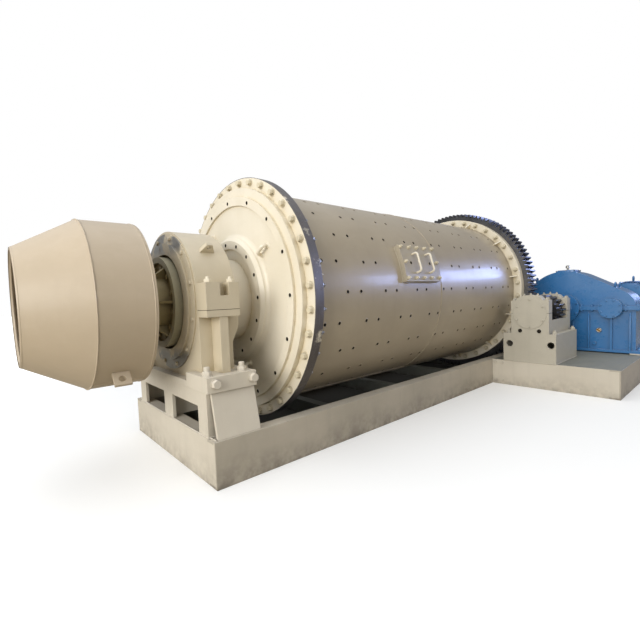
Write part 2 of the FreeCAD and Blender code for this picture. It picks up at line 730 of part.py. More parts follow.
def make_cap(end, side):
    tag = "Cap" + end
    span = (out(side, s.housing_in), out(side, s.housing_out))
    dome = rod(tag + "Dome", cap_radius, span, 0, axis_height)
    below = box(tag + "Below", span, (-ear_half, ear_half), (split_z - cap_radius, split_z))
    skirt = box(tag + "Skirt", span, (-cap_radius, cap_radius), (split_z, axis_height))
    ear_top = axis_height + s.ear_top
    ear_span = (out(side, s.housing_out - s.ear_length), out(side, s.housing_out))
    notch_out = s.housing_out - s.notch_start
    notch_span = (out(side, notch_out - s.notch_width), out(side, notch_out))
    parts = [cut(tag + "Half", dome, below), skirt]
    tools = [bearing_bore(tag + "Bore", side)]
    for index, half in enumerate(both_ways((housing_bore + 30, ear_half))):
        parts.append(box(f"{tag}Ear{index}", ear_span, half, (split_z, ear_top)))
    for index, half in enumerate(both_ways((ear_half - s.notch_in, ear_half))):
        tools.append(box(f"{tag}Notch{index}", notch_span, half, (ear_top - s.notch_depth, ear_top)))
    shaped = cut(tag, fuse(tag + "Blank", parts), fuse(tag + "Tools", tools))
    keep(f"{end}_bearing_cap", shaped)


def make_cap_eyes():
    # tapered lifting eyes on both shoulders of each cap
    middle = (s.housing_in + s.housing_out) / 2
    low = cap_radius + s.fit
    top = low + s.eye_rise
    corners = [(middle - s.eye_foot, low), (middle - s.eye_head, top), (middle + s.eye_head, top),
               (middle + s.eye_foot, low)]
    fins = []
    for end, side in ENDS:
        eye = (out(side, middle), top - s.eye_head * 1.3, s.eye_hole)
        points = [(out(side, u), radius) for u, radius in corners]
        for index, angle in enumerate((s.eye_angle, 180 - s.eye_angle)):
            fins.append(fin(f"CapEye{end}{index}", points, s.eye_thick, angle, [eye]))
    keep("cap_lifting_eyes", group("CapEyes", fins))


def make_bushes():
    rings = []
    for end, side in ENDS:
        near, far = s.housing_in + s.bush_inset, s.housing_out - s.bush_inset
        inner, outer = s.journal_radius + s.fit, housing_bore - s.fit
        corners = [(near, inner), (near, outer), (far, outer), (far, inner)]
        rings.append(turned("Bush" + end, [(out(side, u), radius) for u, radius in corners]))
    keep("bearing_bushes", group("Bushes", rings))


def make_seal_rings():
    rings = []
    bore = s.journal_radius + s.seal_gap
    lip_radius = bore + s.seal_ring_width
    plate_radius = cap_radius - s.seal_plate_inset
    for end, side in ENDS:
        face = s.housing_out
        plate, lip = face + s.seal_plate, face + s.seal_ring
        outer = [(face, bore), (face, plate_radius), (plate, plate_radius), (plate, lip_radius),
                 (lip, lip_radius), (lip, bore)]
        back = s.housing_in
        inner = [(back, bore), (back, plate_radius), (back - s.seal_plate, plate_radius),
                 (back - s.seal_plate, bore)]
        for tag, corners in (("Outer", outer), ("Inner", inner)):
            points = [(out(side, u), radius) for u, radius in corners]
            rings.append(turned(f"Seal{tag}{end}", points))
    keep("seal_rings", group("SealRings", rings))


def make_sole_plates():
    plates = []
    for end, side in ENDS:
        span = (out(side, s.sole_in), out(side, s.sole_out))
        blank = box(f"Sole{end}Blank", span, (-sole_half, sole_half), (sole_low, sole_top))
        seat = box(f"Sole{end}Seat", span, (-sole_seat_half, sole_seat_half),
                   (sole_top - s.sole_seat_depth, sole_top))
        plates.append(cut("Sole" + end, blank, seat))
    keep("sole_plates", group("SolePlates", plates))


def make_stand(end, side):
    tag = "Stand" + end
    outer_span = (out(side, s.stand_in), out(side, s.stand_out))
    inner_span = (out(side, s.stand_in + s.stand_plate), out(side, s.stand_out - s.stand_plate))
    blank = box(tag + "Blank", outer_span, (-stand_half, stand_half),
                (base_height, sole_low))
    tools = []
    cavity = (s.stand_plate / 2, stand_half - s.stand_plate)
    for index, half in enumerate(both_ways(cavity)):
        tools.append(box(f"{tag}Cavity{index}", inner_span, half,
                         (base_height, sole_low - s.stand_plate)))
    window = (s.window_near, stand_half - s.window_margin)
    for index, half in enumerate(both_ways(window)):
        tools.append(box(f"{tag}Window{index}", outer_span, half,
                         (base_height, sole_low - s.window_rail)))
    keep(f"{end}_stand", cut(tag, blank, fuse(tag + "Tools", tools)))


def make_braces():
    # sloping side plates between the sole plate and the side beams
    plates = []
    for end, side in ENDS:
        for way, letter in ((-1, "A"), (1, "B")):
            top = stand_half
            foot = base_half_width - s.brace_landing - s.brace_thick
            corners = [(top, sole_low), (top + s.brace_thick, sole_low),
                       (foot + s.brace_thick, base_height), (foot, base_height)]
            points = [(way * y, z) for y, z in corners]
            span = (out(side, s.brace_in), out(side, s.brace_out))
            plates.append(slab_x(f"Brace{end}{letter}", points, span))
    keep("stand_braces", group("Braces", plates))


# ---- base frame ----

def channel_corners(web, tip, low, high):
    # the section of a channel whose web stands at one place and whose flanges reach another
    way = 1 if float(as_size(tip)) > float(as_size(web)) else -1
    inner = web + way * s.beam_web
    return [(web, low), (tip, low), (tip, low + s.beam_flange_thick),
            (inner, low + s.beam_flange_thick), (inner, high - s.beam_flange_thick),
            (tip, high - s.beam_flange_thick), (tip, high), (web, high)]


def end_beam(name, web, tip, y_span, web_span, low=0, high=base_height):
    # a beam along Y whose web reaches into the channels beside it
    way = 1 if float(as_size(tip)) > float(as_size(web)) else -1
    parts = [
        box(name + "Web", (web, web + way * s.beam_web), web_span,
            (low + s.beam_flange_thick, high - s.beam_flange_thick)),
        box(name + "Bottom", (web, tip), y_span, (low, low + s.beam_flange_thick)),
        box(name + "Top", (web, tip), y_span, (high - s.beam_flange_thick, high)),
    ]
    return fuse(name, parts)


inner_half = base_half_width - s.beam_flange
web_half = base_half_width - s.beam_web
low_beam_height = axis_height - s.flange_radius - s.low_beam_clearance


def make_base():
    span = (-base_half_length, base_half_length)
    sides = []
    for way, letter in ((-1, "A"), (1, "B")):
        corners = channel_corners(way * base_half_width, way * inner_half, as_size(0),
                                  base_height)
        sides.append(slab_x("BaseSide" + letter, corners, span))
    keep("base_side_beams", group("BaseSides", sides))
    ends = []
    for end, side in ENDS:
        web = side * base_half_length
        ends.append(end_beam("BaseEnd" + end, web, web - side * s.beam_flange,
                             (-inner_half, inner_half), (-web_half, web_half)))
    keep("base_end_beams", group("BaseEnds", ends))


def make_base_cross_beams():
    beams = []
    for index, step in enumerate((-1, 0, 1)):
        web = step * s.low_beam_pitch - s.stand_beam_width / 2
        beams.append(end_beam(f"LowBeam{index}", web, web + s.stand_beam_width,
                              (-inner_half, inner_half), (-inner_half, inner_half),
                              high=low_beam_height))
    for end, side in ENDS:
        web = out(side, s.stand_beam_out)
        beams.append(end_beam("StandBeam" + end, web, web + side * s.stand_beam_width,
                              (-inner_half, inner_half), (-inner_half, inner_half)))
    keep("base_cross_beams", group("CrossBeams", beams))


drive_inner_tip = -base_half_width - s.drive_flange
drive_outer_tip = -drive_outer + s.drive_flange


def make_drive_base():
    span = (drive_start, drive_end)
    outer = channel_corners(-drive_outer, drive_outer_tip, as_size(0), base_height)
    inner = channel_corners(-base_half_width, drive_inner_tip, as_size(0), base_height)
    keep("drive_side_beam", slab_x("DriveSide", outer, span))
    keep("drive_inner_beam", slab_x("DriveInner", inner, span))
    gap = (drive_outer_tip, drive_inner_tip)
    web_gap = (-drive_outer + s.beam_web, -base_half_width - s.beam_web)
    front = end_beam("DriveFront", drive_start, drive_start + s.drive_flange, gap, web_gap)
    rear = end_beam("DriveRear", drive_end, drive_end - s.drive_flange, gap, web_gap)
    keep("drive_front_beam", front)
    keep("drive_rear_beam", rear)
    deck_low = base_height - s.deck_thick
    beams = []
    starts = (stand_end - s.second_beam_back, case_span[0] + s.beam_inset,
              case_span[1] - s.beam_inset - s.drive_flange, pedestal_span[0] + s.beam_inset,
              pedestal_span[1] - s.beam_inset - s.drive_flange)
    for index, start in enumerate(starts):
        beams.append(end_beam(f"DriveCross{index}", start, start + s.drive_flange, gap, gap,
                              high=deck_low))
    keep("drive_cross_beams", group("DriveCross", beams))
    deck = box("DriveDeck", (drive_start + s.drive_flange, drive_end - s.drive_flange), gap,
               (deck_low, base_height))
    keep("drive_deck", deck)


# ---- pinion stand and bearing blocks ----

stand_inner = pinion_y + block_half + s.stand_margin_in
stand_outer = pinion_y - block_half - s.stand_margin_out
block_floor = pinion_z - block_drop
stand_top = block_floor - s.plate_thick


def gear_well(name, low):
    # the room that the gear needs in the stand's inner side and top plate
    depth = axis_height - block_floor
    edge = -(gear_tip * gear_tip - depth * depth).root() - s.gear_gap
    span = (out(1, gear_start) - s.gear_gap, out(1, gear_end) + s.gear_gap)
    return box(name, span, (edge, stand_inner), (low, block_floor))


def make_pinion_stand():
    span = (drive_start, stand_end)
    across = (stand_outer, stand_inner)
    plate = s.pinion_stand_plate
    rail_top = axis_height - (gear_tip * gear_tip - stand_inner * stand_inner).root() - s.rail_drop
    blank = box("PinionStandBlank", span, across, (base_height, stand_top))
    tools = [
        box("PinionStandBay", (span[0] + plate, span[1] - plate),
            (stand_outer + plate, stand_inner - plate), (base_height, stand_top - plate)),
        gear_well("PinionStandWell", rail_top),
    ]
    for index, way in enumerate((-1, 1)):
        tools.append(rod(f"PinionStandHole{index}", s.stand_hole_radius, (span[0], span[0] + plate),
                         pinion_y + way * s.stand_hole_spread, stand_top - s.stand_hole_drop))
    keep("pinion_stand", cut("PinionStand", blank, fuse("PinionStandTools", tools)))
    top = box("PinionSoleBlank", span, across, (stand_top, block_floor))
    keep("pinion_sole_plate", cut("PinionSole", top, gear_well("PinionSoleWell", stand_top)))


def make_blocks():
    # split bearing blocks: a lower half, and a cap with two shoulders and a low dome
    lowers, caps, covers = [], [], []
    left, right = pinion_y - block_half, pinion_y + block_half
    for tag, span, closed in (("Front", front_block, True), ("Rear", rear_block, False)):
        base = box(f"Block{tag}Lower", span, (left, right), (block_floor, pinion_z))
        tools = [rod(f"Block{tag}Bore", s.pinion_shaft_radius + s.fit, span, pinion_y, pinion_z)]
        face = span[0] if closed else span[1]
        depth = (face, face + (1 if closed else -1) * s.drain_depth)
        for index, way in enumerate((-1, 1)):
            tools.append(rod(f"Block{tag}Drain{index}", s.drain_radius, depth,
                             pinion_y + way * s.drain_spread, block_floor + s.drain_rise))
        lowers.append(cut(f"Block{tag}", base, fuse(f"Block{tag}Tools", tools)))
        shoulder = block_half - s.shoulder_width
        foot = shoulder - s.dome_slope
        profile = [(block_half, as_size(0)), (block_half, s.shoulder_rise),
                   (shoulder, s.shoulder_rise), (foot, s.dome_foot_rise),
                   (foot / 2, (s.dome_foot_rise + 3 * s.block_rise) / 4), (as_size(0), s.block_rise)]
        mirrored = [(-y, z) for y, z in reversed(profile[:-1])]
        corners = [(pinion_y + y, pinion_z + z) for y, z in profile + mirrored]
        blank = slab_x(f"BlockCap{tag}Blank", corners, span)
        bore = rod(f"BlockCap{tag}Bore", s.pinion_shaft_radius + s.fit, span, pinion_y, pinion_z)
        caps.append(cut(f"BlockCap{tag}", blank, bore))
        side = (-1 if closed else 1) * s.shaft_cover_thick
        disc_span = (face, face + side)
        disc = rod(f"ShaftCover{tag}Disc", s.shaft_cover_radius, disc_span, pinion_y, pinion_z)
        if not closed:
            hole = rod(f"ShaftCover{tag}Hole", s.pinion_shaft_radius + s.seat_clearance * 5,
                       disc_span, pinion_y, pinion_z)
            disc = cut(f"ShaftCover{tag}", disc, hole)
        covers.append(disc)
    keep("pinion_bearing_blocks", group("Blocks", lowers))
    keep("pinion_bearing_caps", group("BlockCaps", caps))
    keep("pinion_shaft_covers", group("ShaftCovers", covers))


def make_trough():
    # a grease trough under the pinion: an outer wall and a floor between the two blocks
    span = (front_block[1], rear_block[0])
    wall = -block_half + s.trough_wall
    corners = [(-block_half, -block_drop), (-block_half, -s.trough_drop),
               (wall, -s.trough_drop), (wall, -block_drop + s.trough_wall),
               (pinion_tip, -block_drop + s.trough_wall), (pinion_tip, -block_drop)]
    points = [(pinion_y + y, pinion_z + z) for y, z in corners]
    keep("pinion_trough", slab_x("PinionTrough", points, span))


# ---- reducer ----

body_span = (case_span[0] + s.reducer_case_inset, case_span[1] - s.reducer_case_inset)
reducer_bottom = pinion_z - s.reducer_drop


def tangent_hood(name, span, big, small, base_z):
    # the outline over two circles side by side, joined by their upper tangent line
    (big_y, big_r), (small_y, small_r) = big, small
    reach = float(big_y - small_y)
    lean = math.asin(float(big_r - small_r) / reach)
    centre_z = float(base_z)

    def at(y, radius, angle):
        return Vector(float(span[0]), float(y) + float(radius) * math.sin(angle),
                      centre_z + float(radius) * math.cos(angle))

    quarter = math.pi / 2
    points = [at(big_y, big_r, quarter), at(big_y, big_r, (quarter - lean) / 2),
              at(big_y, big_r, -lean), at(small_y, small_r, -lean),
              at(small_y, small_r, -(quarter + lean) / 2), at(small_y, small_r, -quarter)]
    edges = [Part.Arc(points[0], points[1], points[2]).toShape(),
             Part.LineSegment(points[2], points[3]).toShape(),
             Part.Arc(points[3], points[4], points[5]).toShape(),
             Part.LineSegment(points[5], points[0]).toShape()]
    item = doc.addObject("Part::Feature", name)
    item.Shape = Part.Face(Part.Wire(edges)).extrude(Vector(float(span[1] - span[0]), 0, 0))
    return item


def make_reducer():
    shafts = [
        rod("ReducerOutputBore", s.output_shaft_radius + s.fit, case_span, pinion_y, pinion_z),
        rod("ReducerInputBore", s.input_shaft_radius + s.fit, case_span, input_y, pinion_z),
    ]
    hood = tangent_hood("ReducerHood", body_span, (pinion_y, s.reducer_hump),
                        (input_y, s.reducer_nose), pinion_z)
    rim_out = s.reducer_foot_out
    upper_rim = box("ReducerUpperRim", case_span, (case_left - rim_out, case_right + rim_out),
                    (pinion_z, pinion_z + s.reducer_rim))
    upper = fuse("ReducerUpperBlank", [hood, upper_rim])
    keep("reducer_upper_case", cut("ReducerUpper", upper, fuse("ReducerUpperTools", shafts)))
    lower_rim = box("ReducerLowerRim", case_span, (case_left - rim_out, case_right + rim_out),
                    (pinion_z - s.reducer_rim, pinion_z))
    trunk = box("ReducerTrunk", body_span, (case_left, case_right), (reducer_bottom, pinion_z))
    foot = box("ReducerFoot", case_span, (case_left - rim_out, case_right + rim_out),
               (reducer_bottom, reducer_bottom + s.reducer_foot_thick))
    ribs = []
    for index, y in enumerate((pinion_y, input_y)):
        ribs.append(box(f"ReducerRib{index}", case_span, (y - s.reducer_rib / 2,
                        y + s.reducer_rib / 2), (reducer_bottom, pinion_z)))
    lower = fuse("ReducerLowerBlank", [lower_rim, trunk, foot] + ribs)
    tools = [
        rod("ReducerLowerOutput", s.output_shaft_radius + s.fit, case_span, pinion_y, pinion_z),
        rod("ReducerLowerInput", s.input_shaft_radius + s.fit, case_span, input_y, pinion_z),
    ]
    keep("reducer_lower_case", cut("ReducerLower", lower, fuse("ReducerLowerTools", tools)))


def make_reducer_covers():
    # round bearing covers on both faces, open where a shaft comes out
    open_output = s.output_shaft_radius + s.seat_clearance * 5
    open_input = s.input_shaft_radius + s.seat_clearance * 5
    front, rear = case_span
    places = (
        ("OutFront", s.bearing_cover_radius, (front - s.cover_thick, front), pinion_y, open_output),
        ("OutRear", s.bearing_cover_radius, (rear, rear + s.cover_thick), pinion_y, None),
        ("InFront", s.input_cover_radius, (front - s.input_cover_thick, front), input_y, None),
        ("InRear", s.input_cover_radius, (rear, rear + s.cover_thick), input_y, open_input),
    )
    covers = []
    for tag, radius, span, y, hole in places:
        disc = rod("ReducerCover" + tag, radius, span, y, pinion_z)
        if hole is not None:
            tool = rod(f"ReducerCover{tag}Hole", hole, span, y, pinion_z)
            disc = cut(f"ReducerCover{tag}Ring", disc, tool)
        covers.append(disc)
    keep("reducer_bearing_covers", group("ReducerCovers", covers))


def make_reducer_rails():
    rails = []
    for index, edge in enumerate((case_right + s.reducer_foot_out, case_left - s.reducer_foot_out)):
        way = 1 if index == 0 else -1
        y_span = ordered(edge, edge - way * s.beam_flange)
        rails.append(box(f"ReducerRail{index}", case_span, y_span,
                         (base_height, reducer_bottom)))
    keep("reducer_rails", group("ReducerRails", rails))


# ---- motor ----

def make_motor():
    core = rod("MotorCore", s.motor_radius, core_span, input_y, pinion_z)
    feet = []
    for index, way in enumerate((-1, 1)):
        edge = input_y + way * (s.motor_foot_half + s.motor_foot_width / 2)
        inner = edge - way * s.motor_foot_width
        feet.append(box(f"MotorFoot{index}", core_span, (inner, edge),
                        (motor_floor, motor_floor + s.motor_foot_thick)))
        web = inner + way * s.motor_foot_width / 2
        feet.append(box(f"MotorFootWeb{index}", core_span, (inner, web),
                        (motor_floor, pinion_z - s.motor_radius / 2)))
    keep("motor_frame", fuse("MotorFrame", [core] + feet))
    cover = rod("MotorCover", s.motor_cover_radius, (motor_span[0], core_span[0]), input_y, pinion_z)
    bore = rod("MotorCoverBore", s.motor_shaft_radius + s.fit, (motor_span[0], core_span[0]),
               input_y, pinion_z)
    keep("motor_end_cover", cut("MotorEndCover", cover, bore))
    cowl = rod("MotorCowl", s.cowl_radius, (core_span[1], motor_span[1]), input_y, pinion_z)
    keep("motor_fan_cowl", cowl)
    middle = (core_span[0] + core_span[1]) / 2
    terminal = box("MotorTerminal",
                   (middle - s.terminal_length / 2, middle + s.terminal_length / 2),
                   (input_y - s.motor_radius - s.terminal_depth, input_y - s.motor_radius / 2),
                   (pinion_z, pinion_z + s.terminal_height))
    skin = rod("MotorTerminalSeat", s.motor_radius + s.fit, core_span, input_y, pinion_z)
    keep("motor_terminal_box", cut("MotorTerminalBox", terminal, skin))


def make_pedestal():
    span = pedestal_span
    across = (input_y - s.pedestal_half, input_y + s.pedestal_half)
    blank = box("PedestalBlank", span, across, (base_height, motor_floor))
    plate = s.pedestal_plate
    hollow = box("PedestalHollow", (span[0] + plate, span[1] - plate),
                 (across[0] + plate, across[1] - plate), (base_height, motor_floor - plate))
    keep("motor_pedestal", cut("Pedestal", blank, hollow))


def make_input_shafts():
    # the high-speed shafts under the guard, with a plain coupling sleeve
    split = (case_span[1] + motor_span[0]) / 2
    length = (motor_span[0] - case_span[1]) / 4
    first = rod("InputShaft", s.input_shaft_radius, (case_span[1] - s.reducer_rib, split),
                input_y, pinion_z)
    second = rod("MotorShaft", s.motor_shaft_radius, (split, core_span[0]), input_y, pinion_z)
    sleeve = rod("CouplingSleeve", s.sleeve_radius,
                 (split - length, split + length), input_y, pinion_z)
    keep("high_speed_coupling", fuse("HighSpeedCoupling", [first, second, sleeve]))


def make_guard():
    # an arched cover on two legs over the high-speed coupling
    rear = case_span[1] + s.cover_thick
    span = (rear + s.guard_gap, motor_span[0] - s.guard_gap)
    floor = base_height
    parts, tools = [], []
    for tag, radius, pieces in (("Outer", s.guard_radius, parts),
                                ("Inner", s.guard_radius - s.guard_plate, tools)):
        pieces.append(rod(f"Guard{tag}Arch", radius, span, input_y, pinion_z))
        pieces.append(box(f"Guard{tag}Leg", span, (input_y - radius, input_y + radius),
                          (floor, pinion_z)))
    for index, way in enumerate((-1, 1)):
        inner = input_y + way * (s.guard_radius - s.guard_plate)
        outer = input_y + way * (s.guard_radius + s.guard_foot)
        parts.append(box(f"GuardFoot{index}", span, (inner, outer),
                         (floor, floor + s.guard_plate)))
    keep("coupling_guard", cut("Guard", fuse("GuardBlank", parts), fuse("GuardHollow", tools)))


make_shell()
make_shell_flanges()
make_gussets()
make_head_lugs()
for end_name, end_side in ENDS:
    make_head(end_name, end_side)
    make_trunnion(end_name, end_side)
    make_housing(end_name, end_side)
    make_cap(end_name, end_side)
    make_stand(end_name, end_side)
make_feeder_neck()
make_feeder()
make_feeder_lug()
make_manhole()
make_handles()
make_girth_gear()
make_pinion()
make_pinion_shaft()
make_coupling()
make_cap_eyes()
make_bushes()
make_seal_rings()
make_sole_plates()
make_braces()
make_base()
make_base_cross_beams()
make_drive_base()
make_pinion_stand()
make_blocks()
make_trough()
make_reducer()
make_reducer_covers()
make_reducer_rails()
make_motor()
make_pedestal()
make_input_shafts()
make_guard()

doc.recompute()

for item in doc.Objects:
    if "Invalid" in item.State or "Error" in item.State:
        raise RuntimeError(f"{item.Name} did not build: {item.State}")
for name, item in nodes.items():
    if item.Shape.isNull() or not item.Shape.isValid() or not item.Shape.Solids:
        raise RuntimeError(f"{name} is not a valid solid")

os.makedirs("parts", exist_ok=True)
for name, item in nodes.items():
    item.Shape.exportStep(f"parts/{name}.step")
    bounds = item.Shape.BoundBox
    print(f"{name}: {len(item.Shape.Solids)} solids, {item.Shape.Volume / 1e9:.5f} m3,"
          f" x {bounds.XMin:.0f}..{bounds.XMax:.0f}, y {bounds.YMin:.0f}..{bounds.YMax:.0f},"
          f" z {bounds.ZMin:.0f}..{bounds.ZMax:.0f}")
print(len(nodes), "nodes")
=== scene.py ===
import json
import math
import bmesh
import bpy
import numpy as np
from mathutils import Matrix, Vector


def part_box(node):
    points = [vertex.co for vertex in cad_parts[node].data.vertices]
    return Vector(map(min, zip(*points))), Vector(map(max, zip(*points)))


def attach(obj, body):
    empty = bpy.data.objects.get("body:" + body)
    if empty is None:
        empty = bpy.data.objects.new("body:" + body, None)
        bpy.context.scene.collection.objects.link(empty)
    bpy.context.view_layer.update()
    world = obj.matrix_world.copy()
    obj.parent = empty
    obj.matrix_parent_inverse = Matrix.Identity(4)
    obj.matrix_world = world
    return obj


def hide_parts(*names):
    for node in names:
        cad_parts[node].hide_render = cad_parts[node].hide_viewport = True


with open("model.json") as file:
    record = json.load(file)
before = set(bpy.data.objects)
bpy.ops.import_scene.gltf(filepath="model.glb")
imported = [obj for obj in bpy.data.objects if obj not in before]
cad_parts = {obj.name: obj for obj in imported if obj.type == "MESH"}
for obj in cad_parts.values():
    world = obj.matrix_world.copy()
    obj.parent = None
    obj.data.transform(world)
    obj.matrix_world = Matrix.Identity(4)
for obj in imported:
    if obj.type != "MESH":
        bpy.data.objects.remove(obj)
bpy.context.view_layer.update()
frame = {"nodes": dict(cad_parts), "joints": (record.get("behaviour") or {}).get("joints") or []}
print("frame loaded:", len(frame["nodes"]), "nodes")

joints = {joint["name"]: joint for joint in frame["joints"]}
millAxis = np.array([0.0, *joints["mill_spin"]["pos_m"][1:]])
pinionAxis = np.array([0.0, *joints["pinion_spin"]["pos_m"][1:]])


def corners(node):
    low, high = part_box(node)
    return np.array(low), np.array(high)


# node helpers: a socket given as an input is linked, and a plain value is set on it

def fill(tree, item, inputs):
    for key, value in inputs.items():
        if isinstance(value, bpy.types.NodeSocket):
            tree.links.new(value, item.inputs[key])
        else:
            item.inputs[key].default_value = value
    return item


def wire(tree, kind, inputs=None, **settings):
    item = tree.nodes.new(kind)
    for key, value in settings.items():
        setattr(item, key, value)
    return fill(tree, item, inputs or {})


def opaque(colour):
    return (*colour, 1.0)


def newMaterial(name):
    material = bpy.data.materials.new(name)
    material.use_nodes = True
    return material, material.node_tree, material.node_tree.nodes["Principled BSDF"]


def coords(tree, kind):
    return wire(tree, "ShaderNodeTexCoord").outputs[kind]


def axisOf(tree, vector, axis):
    return wire(tree, "ShaderNodeSeparateXYZ", {0: vector}).outputs[axis]


def mathNode(tree, operation, *terms, clamp=False):
    return wire(tree, "ShaderNodeMath", dict(enumerate(terms)), operation=operation,
                use_clamp=clamp).outputs[0]


def vectorMath(tree, operation, *terms):
    item = wire(tree, "ShaderNodeVectorMath", dict(enumerate(terms)), operation=operation)
    return item.outputs["Value" if operation in ("LENGTH", "DOT_PRODUCT") else "Vector"]


def chained(tree, operation, terms):
    result = terms[0]
    for term in terms[1:]:
        result = mathNode(tree, operation, result, term)
    return result


def times(tree, *terms):
    return chained(tree, "MULTIPLY", terms)


def plus(tree, *terms):
    return chained(tree, "ADD", terms)


def fade(tree, value, start, end, low=0.0, high=1.0, **settings):
    # a ramp from low at start to high at end, held there on both sides
    return wire(tree, "ShaderNodeMapRange", {0: value, 1: start, 2: end, 3: low, 4: high},
                **settings).outputs[0]


def noise(tree, place, scale, detail=3.0, roughness=0.5):
    return wire(tree, "ShaderNodeTexNoise", {"Vector": place, "Scale": scale, "Detail": detail,
                                             "Roughness": roughness}).outputs[0]


def layered(tree, colour, *layers):
    # each layer is an amount and the colour laid over by it
    for amount, over in layers:
        colour = wire(tree, "ShaderNodeMix", {0: amount, 6: colour, 7: over},
                      data_type="RGBA").outputs[2]
    return colour


# camera, lights and floor

cameraView = {"place": (-2.879, -2.479, 0.986), "yaw": 41.126, "pitch": 3.517, "roll": -2.298,
              "lens": 21.30}
lights = {
    # place, aim, width, height, colour, watts
    "keySide": ((-8.2, -2.2, 2.5), (-1.6, -0.1, 0.7), 5.0, 3.6, (1.0, 0.98, 0.945), 430),
    "skyPanel": ((-1.5, -0.2, 7.5), (-0.2, 0.0, 0.8), 8.0, 5.0, (1.0, 0.97, 0.94), 150),
    "windowStrip": ((8.3, -5.2, 3.0), (0.8, -0.7, 1.2), 5.2, 1.35, (0.42, 0.53, 1.0), 440),
    "frontFill": ((-1.0, -8.5, 3.4), (0.2, 0.0, 0.8), 6.0, 3.0, (1.0, 0.96, 0.90), 105),
}
studio = {"backdrop": (1.0, 1.0, 1.0), "sky": (0.80, 0.84, 0.90), "ground": (0.36, 0.34, 0.31),
          "strength": 1.25, "dimmest": 0.30, "openSide": (-0.80, 0.55, 0.25), "floorSize": 60.0,
          "floor": (0.86, 0.86, 0.85), "bounce": (0.40, 0.36, 0.29),
          "shade": (0.10, 0.095, 0.085), "shadeReach": (("X", 2.05), ("Y", 0.66)),
          "nearRing": 2.6, "farRing": 7.5, "leastGlow": 0.12}


def placeCamera(view):
    yaw, pitch, roll = (math.radians(view[key]) for key in ("yaw", "pitch", "roll"))
    ahead = np.array([math.sin(yaw) * math.cos(pitch), math.cos(yaw) * math.cos(pitch),
                      -math.sin(pitch)])
    level = np.array([math.cos(yaw), -math.sin(yaw), 0.0])
    above = np.cross(level, ahead)
    right = math.cos(roll) * level + math.sin(roll) * above
    up = math.cos(roll) * above - math.sin(roll) * level
    lens = bpy.data.cameras.new("camera")
    lens.lens = view["lens"]
    lens.sensor_width = 36.0
    lens.clip_end = 200.0
    holder = bpy.data.objects.new("camera", lens)
    turned = Matrix((right, up, -ahead)).transposed().to_4x4()
    holder.matrix_world = Matrix.Translation(view["place"]) @ turned
    bpy.context.scene.collection.objects.link(holder)
    bpy.context.scene.camera = holder


def placeLights():
    for name, (place, target, width, height, colour, watts) in lights.items():
        lamp = bpy.data.lights.new(name, "AREA")
        lamp.shape = "RECTANGLE"
        lamp.size, lamp.size_y = width, height
        lamp.color = colour
        lamp.energy = watts
        holder = bpy.data.objects.new(name, lamp)
        holder.location = place
        away = Vector(place) - Vector(target)
        holder.rotation_euler = away.to_track_quat("Z", "Y").to_euler()
        # the strip only glints, so it leaves the shaded side dark
        holder.visible_diffuse = name != "windowStrip"
        bpy.context.scene.collection.objects.link(holder)


def makeWorld():
    world = bpy.data.worlds.new("studio")
    world.use_nodes = True
    tree = world.node_tree
    tree.nodes.clear()
    view = coords(tree, "Generated")
    lift = fade(tree, axisOf(tree, view, "Z"), -0.15, 0.75)
    around = layered(tree, opaque(studio["ground"]), (lift, opaque(studio["sky"])))
    # brightest toward the open end of the hall, dimmer along the drive side
    share = fade(tree, vectorMath(tree, "DOT_PRODUCT", view, studio["openSide"]), -0.9, 0.9,
                 studio["dimmest"], studio["strength"])
    soft = wire(tree, "ShaderNodeBackground", {0: around, 1: share})
    plain = wire(tree, "ShaderNodeBackground", {0: opaque(studio["backdrop"]), 1: 1.0})
    seen = wire(tree, "ShaderNodeLightPath").outputs["Is Camera Ray"]
    both = wire(tree, "ShaderNodeMixShader", {0: seen, 1: soft.outputs[0], 2: plain.outputs[0]})
    wire(tree, "ShaderNodeOutputWorld", {0: both.outputs[0]})
    bpy.context.scene.world = world
    bpy.context.scene.view_settings.view_transform = "Standard"


def makeFloor():
    half = studio["floorSize"]
    mesh = bpy.data.meshes.new("floor")
    mesh.from_pydata([(-half, -half, 0), (half, -half, 0), (half, half, 0), (-half, half, 0)], [],
                     [(0, 1, 2, 3)])
    material, tree, shader = newMaterial("paleFloor")
    place = coords(tree, "Object")
    seen = wire(tree, "ShaderNodeLightPath").outputs["Is Camera Ray"]
    # the floor inside the frame is painted dark as deep shade, with no glow there
    inside = times(tree, *(
        mathNode(tree, "LESS_THAN", mathNode(tree, "ABSOLUTE", axisOf(tree, place, axis)), reach)
        for axis, reach in studio["shadeReach"]))
    glow = fade(tree, vectorMath(tree, "LENGTH", place), studio["nearRing"], studio["farRing"],
                studio["leastGlow"], 1.0, interpolation_type="SMOOTHSTEP")
    fill(tree, shader, {
        "Base Color": layered(tree, opaque(studio["bounce"]), (seen, opaque(studio["floor"])),
                              (inside, opaque(studio["shade"]))),
        "Roughness": 0.85, "Specular IOR Level": 0.1, "Emission Color": (1.0, 1.0, 1.0, 1.0),
        "Emission Strength": times(tree, glow, seen, mathNode(tree, "SUBTRACT", 1.0, inside))})
    mesh.materials.append(material)
    floor = bpy.data.objects.new("floor", mesh)
    bpy.context.scene.collection.objects.link(floor)


placeCamera(cameraView)
placeLights()
makeWorld()
makeFloor()
print("camera, lights and floor placed")


# the two shared finishes

paintLabels = ("Paint", "Shade", "Dust", "GrimeAndShadeColour", "Gloss", "Dustiness", "GrimeAndShadeAmount", "Streaks",
               "Chips", "Wave")
metalLabels = ("Metal", "Dark", "Rust", "Gloss", "Rustiness", "Smears", "Turned")


